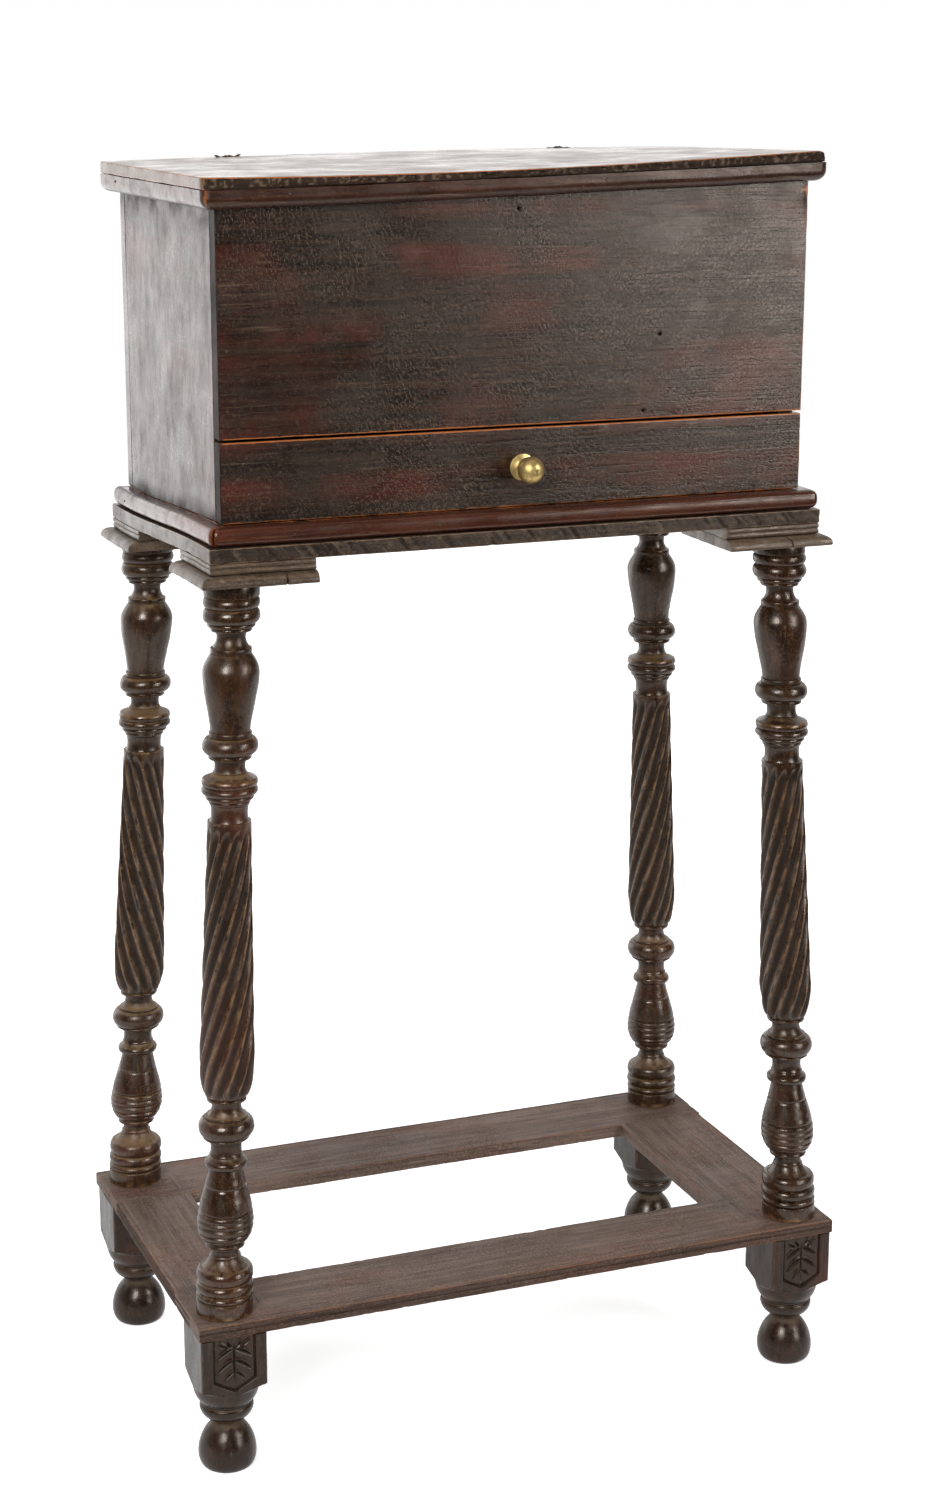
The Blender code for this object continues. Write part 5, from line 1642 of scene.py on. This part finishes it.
def make_nails():
    """Shows the nail heads of each body as one piece."""
    tree = nail_tree()
    for body, nails in nail_places().items():
        spots = bpy.data.meshes.new("nail places")
        spots.from_pydata([tuple(place) for place, facing in nails], [], [])
        facings = np.array([facing for place, facing in nails], dtype=np.float32)
        layer = spots.attributes.new("facing", "FLOAT_VECTOR", "POINT")
        layer.data.foreach_set("vector", facings.ravel())
        mesh = run_tree(tree, f"nail_heads_{body}", {
            "Radius": NAIL_RADIUS, "Height": NAIL_HEIGHT, "Seed": NAIL_SEED, "Iron": IRON}, spots)
        close_mesh(mesh, 1e-7, 40)
        if body == "case":
            sink_corner(mesh)
        show_piece(mesh, IRON, body)


def paint_node(node, material):
    """Keeps a node's own shape and gives it a finish."""
    mesh = frame["nodes"][node].data
    mesh.materials.clear()
    mesh.materials.append(material)


# The whole object

def make_stand():
    tree = twisted_column_tree()
    for corner in CORNERS:
        make_leg(corner, tree)
        make_foot(corner)
        make_pad(corner)
    for name, axis, side in (("front", 1, -1), ("back", 1, 1), ("left", 0, -1), ("right", 0, 1)):
        make_rail(name, axis, side)
    for facing in ("front", "back"):
        for side in ("left", "right"):
            make_peg(f"stretcher_peg_{facing}_{side}")


def make_base():
    worn_board("base_board", BASE_WOOD, (1.3, 5, 1.2), 0.6, 0.8, 0.1, shape=shape_base)
    worn_board("box_bottom_board", BOX_WOOD["X"], (6, 6, 4))
    section = bullnose_section()
    moulding_strip("base_moulding_front", section, NOSE_WOOD["X"], gap=2.0 * MM)
    for side in ("left", "right"):
        moulding_strip(f"base_moulding_{side}", section, NOSE_WOOD["Y"], BOX_Y)


# Worm holes in the front board: place across, height and radius
FRONT_HOLES = (
    (99.9 * MM, 775 * MM, 1.5 * MM),
    (88.4 * MM, 724 * MM, 1.3 * MM),
    (-3.4 * MM, 860 * MM, 1.5 * MM),
)


def make_box():
    worn_board("box_front_board", BOX_WOOD["X"], (2.5, 4, 2.5), 0.7, 0.6, shape=under_lid, holes=FRONT_HOLES)
    worn_board("box_back_board", BOX_WOOD["X"], (4, 4, 4), 0.6, 0.5, shape=under_lid)
    for side in ("left", "right"):
        worn_board(f"box_{side}_side", BOX_WOOD["Y"], (4, 2.5, 2.5), 0.5, 0.4, 0.2, shape=under_lid)
    worn_board("box_floor", PLAIN_WOOD["X"], (4, 4, 4), 0.3, 0.2)


def make_lid():
    worn_board("lid_board", LID_WOOD, (1.2, 4, 1.2), 1.0, 0.8, 0.15, shape=shape_lid)
    section = ovolo_section()
    moulding_strip("lid_moulding_front", section, MOULDING_WOOD["X"], round_share=LID_ROUNDING,
                   shape=shape_lid_strip)
    for side in ("left", "right"):
        moulding_strip(f"lid_moulding_{side}", section, MOULDING_WOOD["Y"], LID_HIGH.y, LID_ROUNDING,
                       shape=shape_lid_strip)


def shape_drawer_front(points, worn, out, marks):
    """Bare wood along the drawer front's top arris and less along its left one, dust along its foot, and
    painted shade on its left end.
    """
    x, y, z = points.T
    front = y < DRAWER_LOW.y + EDGE_BAND
    marks["wear"] *= 1.0 - 0.75 * bell(x - DRAWER_LOW.x, 1.3 * MM)
    marks["wear"] += 0.3 * front * bell(DRAWER_HIGH.z - z, 1.3 * MM)
    marks["grime"] += 0.5 * front * bell(z - DRAWER_LOW.z, 1.5 * MM)
    # Painted shade on the left end, where its joint with the side lies in shadow
    marks["shade"] = np.where(x < x.min() + 1e-5, DARK_END, marks["shade"])
    return worn


def make_drawer():
    worn_board("drawer_front", BOX_WOOD["X"], (2.5, 4, 2.5), 0.8, 0.6, shape=shape_drawer_front)
    for side in ("left", "right"):
        worn_board(f"drawer_{side}_side", PLAIN_WOOD["Y"], (4, 4, 4), 0.6, 0.4)
    worn_board("drawer_back", PLAIN_WOOD["X"], (4, 4, 4), 0.6, 0.4)
    worn_board("drawer_bottom", PLAIN_WOOD["X"], (5, 5, 4), 0.3, 0.2)
    make_knob()
    paint_node("knob_nut", IRON)


def make_hinges():
    for side in ("left", "right"):
        make_hinge(side)


# Floor, light and camera

FLOOR_RADIUS = 2.5
FLOOR_BEHIND = 1.7
FLOOR_GLOW = 0.60
FLOOR_MIRRORED = 0.4
FLOOR_FADE = (0.5, 1.7)
ROOM_IN_FRONT = 0.06
ROOM_BEHIND = 0.95
ROOM_FADE = (-0.15, 0.55)


def place_camera():
    data = bpy.data.cameras.new("camera")
    data.lens = CAMERA_LENS
    data.clip_end = 50.0
    camera = add_object("camera", data)
    camera.matrix_world = (Matrix.Translation(CAMERA_PLACE)
                           @ Matrix.Rotation(math.radians(CAMERA_HEADING), 4, "Z")
                           @ Matrix.Rotation(math.radians(90 - CAMERA_PITCH), 4, "X")
                           @ Matrix.Rotation(math.radians(CAMERA_ROLL), 4, "Z"))
    bpy.context.scene.camera = camera


def softbox(name, place, aim, width, height, brightness):
    """A soft panel of light. Brightness 1 looks white."""
    data = bpy.data.lights.new(name, "AREA")
    data.shape = "RECTANGLE"
    data.size = width
    data.size_y = height
    data.energy = brightness * math.pi * width * height
    lamp = add_object(name, data)
    lamp.location = place
    lamp.rotation_euler = (Vector(aim) - Vector(place)).to_track_quat("-Z", "Y").to_euler()


def white_floor():
    """A round white floor. It looks white where nothing shades it."""
    material, tree, shader, place = start_material("white floor")
    path = add_node(tree, "ShaderNodeLightPath")
    mirrored = times(tree, path.outputs["Is Glossy Ray"], FLOOR_MIRRORED)
    seen = maths(tree, "MAXIMUM", path.outputs["Is Camera Ray"],
                 maths(tree, "MAXIMUM", mirrored, path.outputs["Is Transmission Ray"]))
    away = add_node(tree, "ShaderNodeVectorMath", {0: place}, operation="LENGTH").outputs["Value"]
    glow = remap(tree, away, *FLOOR_FADE, FLOOR_GLOW, 1.0)
    set_inputs(tree, shader, {
        "Base Color": colour(0.80, 0.80, 0.80),
        "Roughness": 0.9,
        "Emission Color": WHITE,
        "Emission Strength": times(tree, seen, glow),
    })
    shape = bmesh.new()
    bmesh.ops.create_circle(shape, cap_ends=True, segments=96, radius=FLOOR_RADIUS,
                            matrix=Matrix.Translation((0.0, FLOOR_BEHIND, 0.0)))
    mesh = bpy.data.meshes.new("floor")
    shape.to_mesh(mesh)
    shape.free()
    mesh.materials.append(material)
    floor = add_object("floor", mesh)


def studio_world():
    """White where the camera looks, and a room that is dim in front of the object and bright behind it."""
    world = bpy.data.worlds.new("studio")
    bpy.context.scene.world = world
    world.use_nodes = True
    tree = world.node_tree
    direction = add_node(tree, "ShaderNodeTexCoord").outputs["Generated"]
    parts = add_node(tree, "ShaderNodeSeparateXYZ", {0: direction})
    behind = remap(tree, parts.outputs["Y"], *ROOM_FADE, ROOM_IN_FRONT, ROOM_BEHIND)
    path = add_node(tree, "ShaderNodeLightPath")
    strength = add_node(tree, "ShaderNodeMix", {0: path.outputs["Is Camera Ray"], 2: behind, 3: 1.0})
    set_inputs(tree, tree.nodes["Background"], {"Color": WHITE, "Strength": strength.outputs[0]})


def make_studio():
    """Camera, floor, room and panels of light, as for the photograph."""
    place_camera()
    white_floor()
    studio_world()
    middle = (0.0, 0.0, 0.5)
    left_side = (-BOX_X, 0.0, FRONT_LOW.z)
    softbox("left softbox", (-1.55, -1.85, 1.75), middle, 0.75, 1.15, 25.0)
    softbox("right softbox", (1.9, -2.0, 1.9), middle, 0.50, 0.80, 25.0)
    softbox("low right panel", (1.68, -2.38, 0.88), middle, 0.95, 0.9, 9.0)
    softbox("top panel", (0.0, 0.1, 2.7), middle, 1.8, 1.4, 1.0)
    softbox("back left panel", (-0.62, 1.35, 0.60), left_side, 0.95, 1.0, 1.45)
    softbox("back right panel", (0.95, 2.55, 1.25), (0.0, 0.0, LID_HIGH.z), 1.3, 0.8, 1.1)


make_stand()
make_base()
make_box()
make_lid()
make_drawer()
make_hinges()
make_nails()
make_studio()

bpy.context.scene.view_settings.view_transform = "Standard"
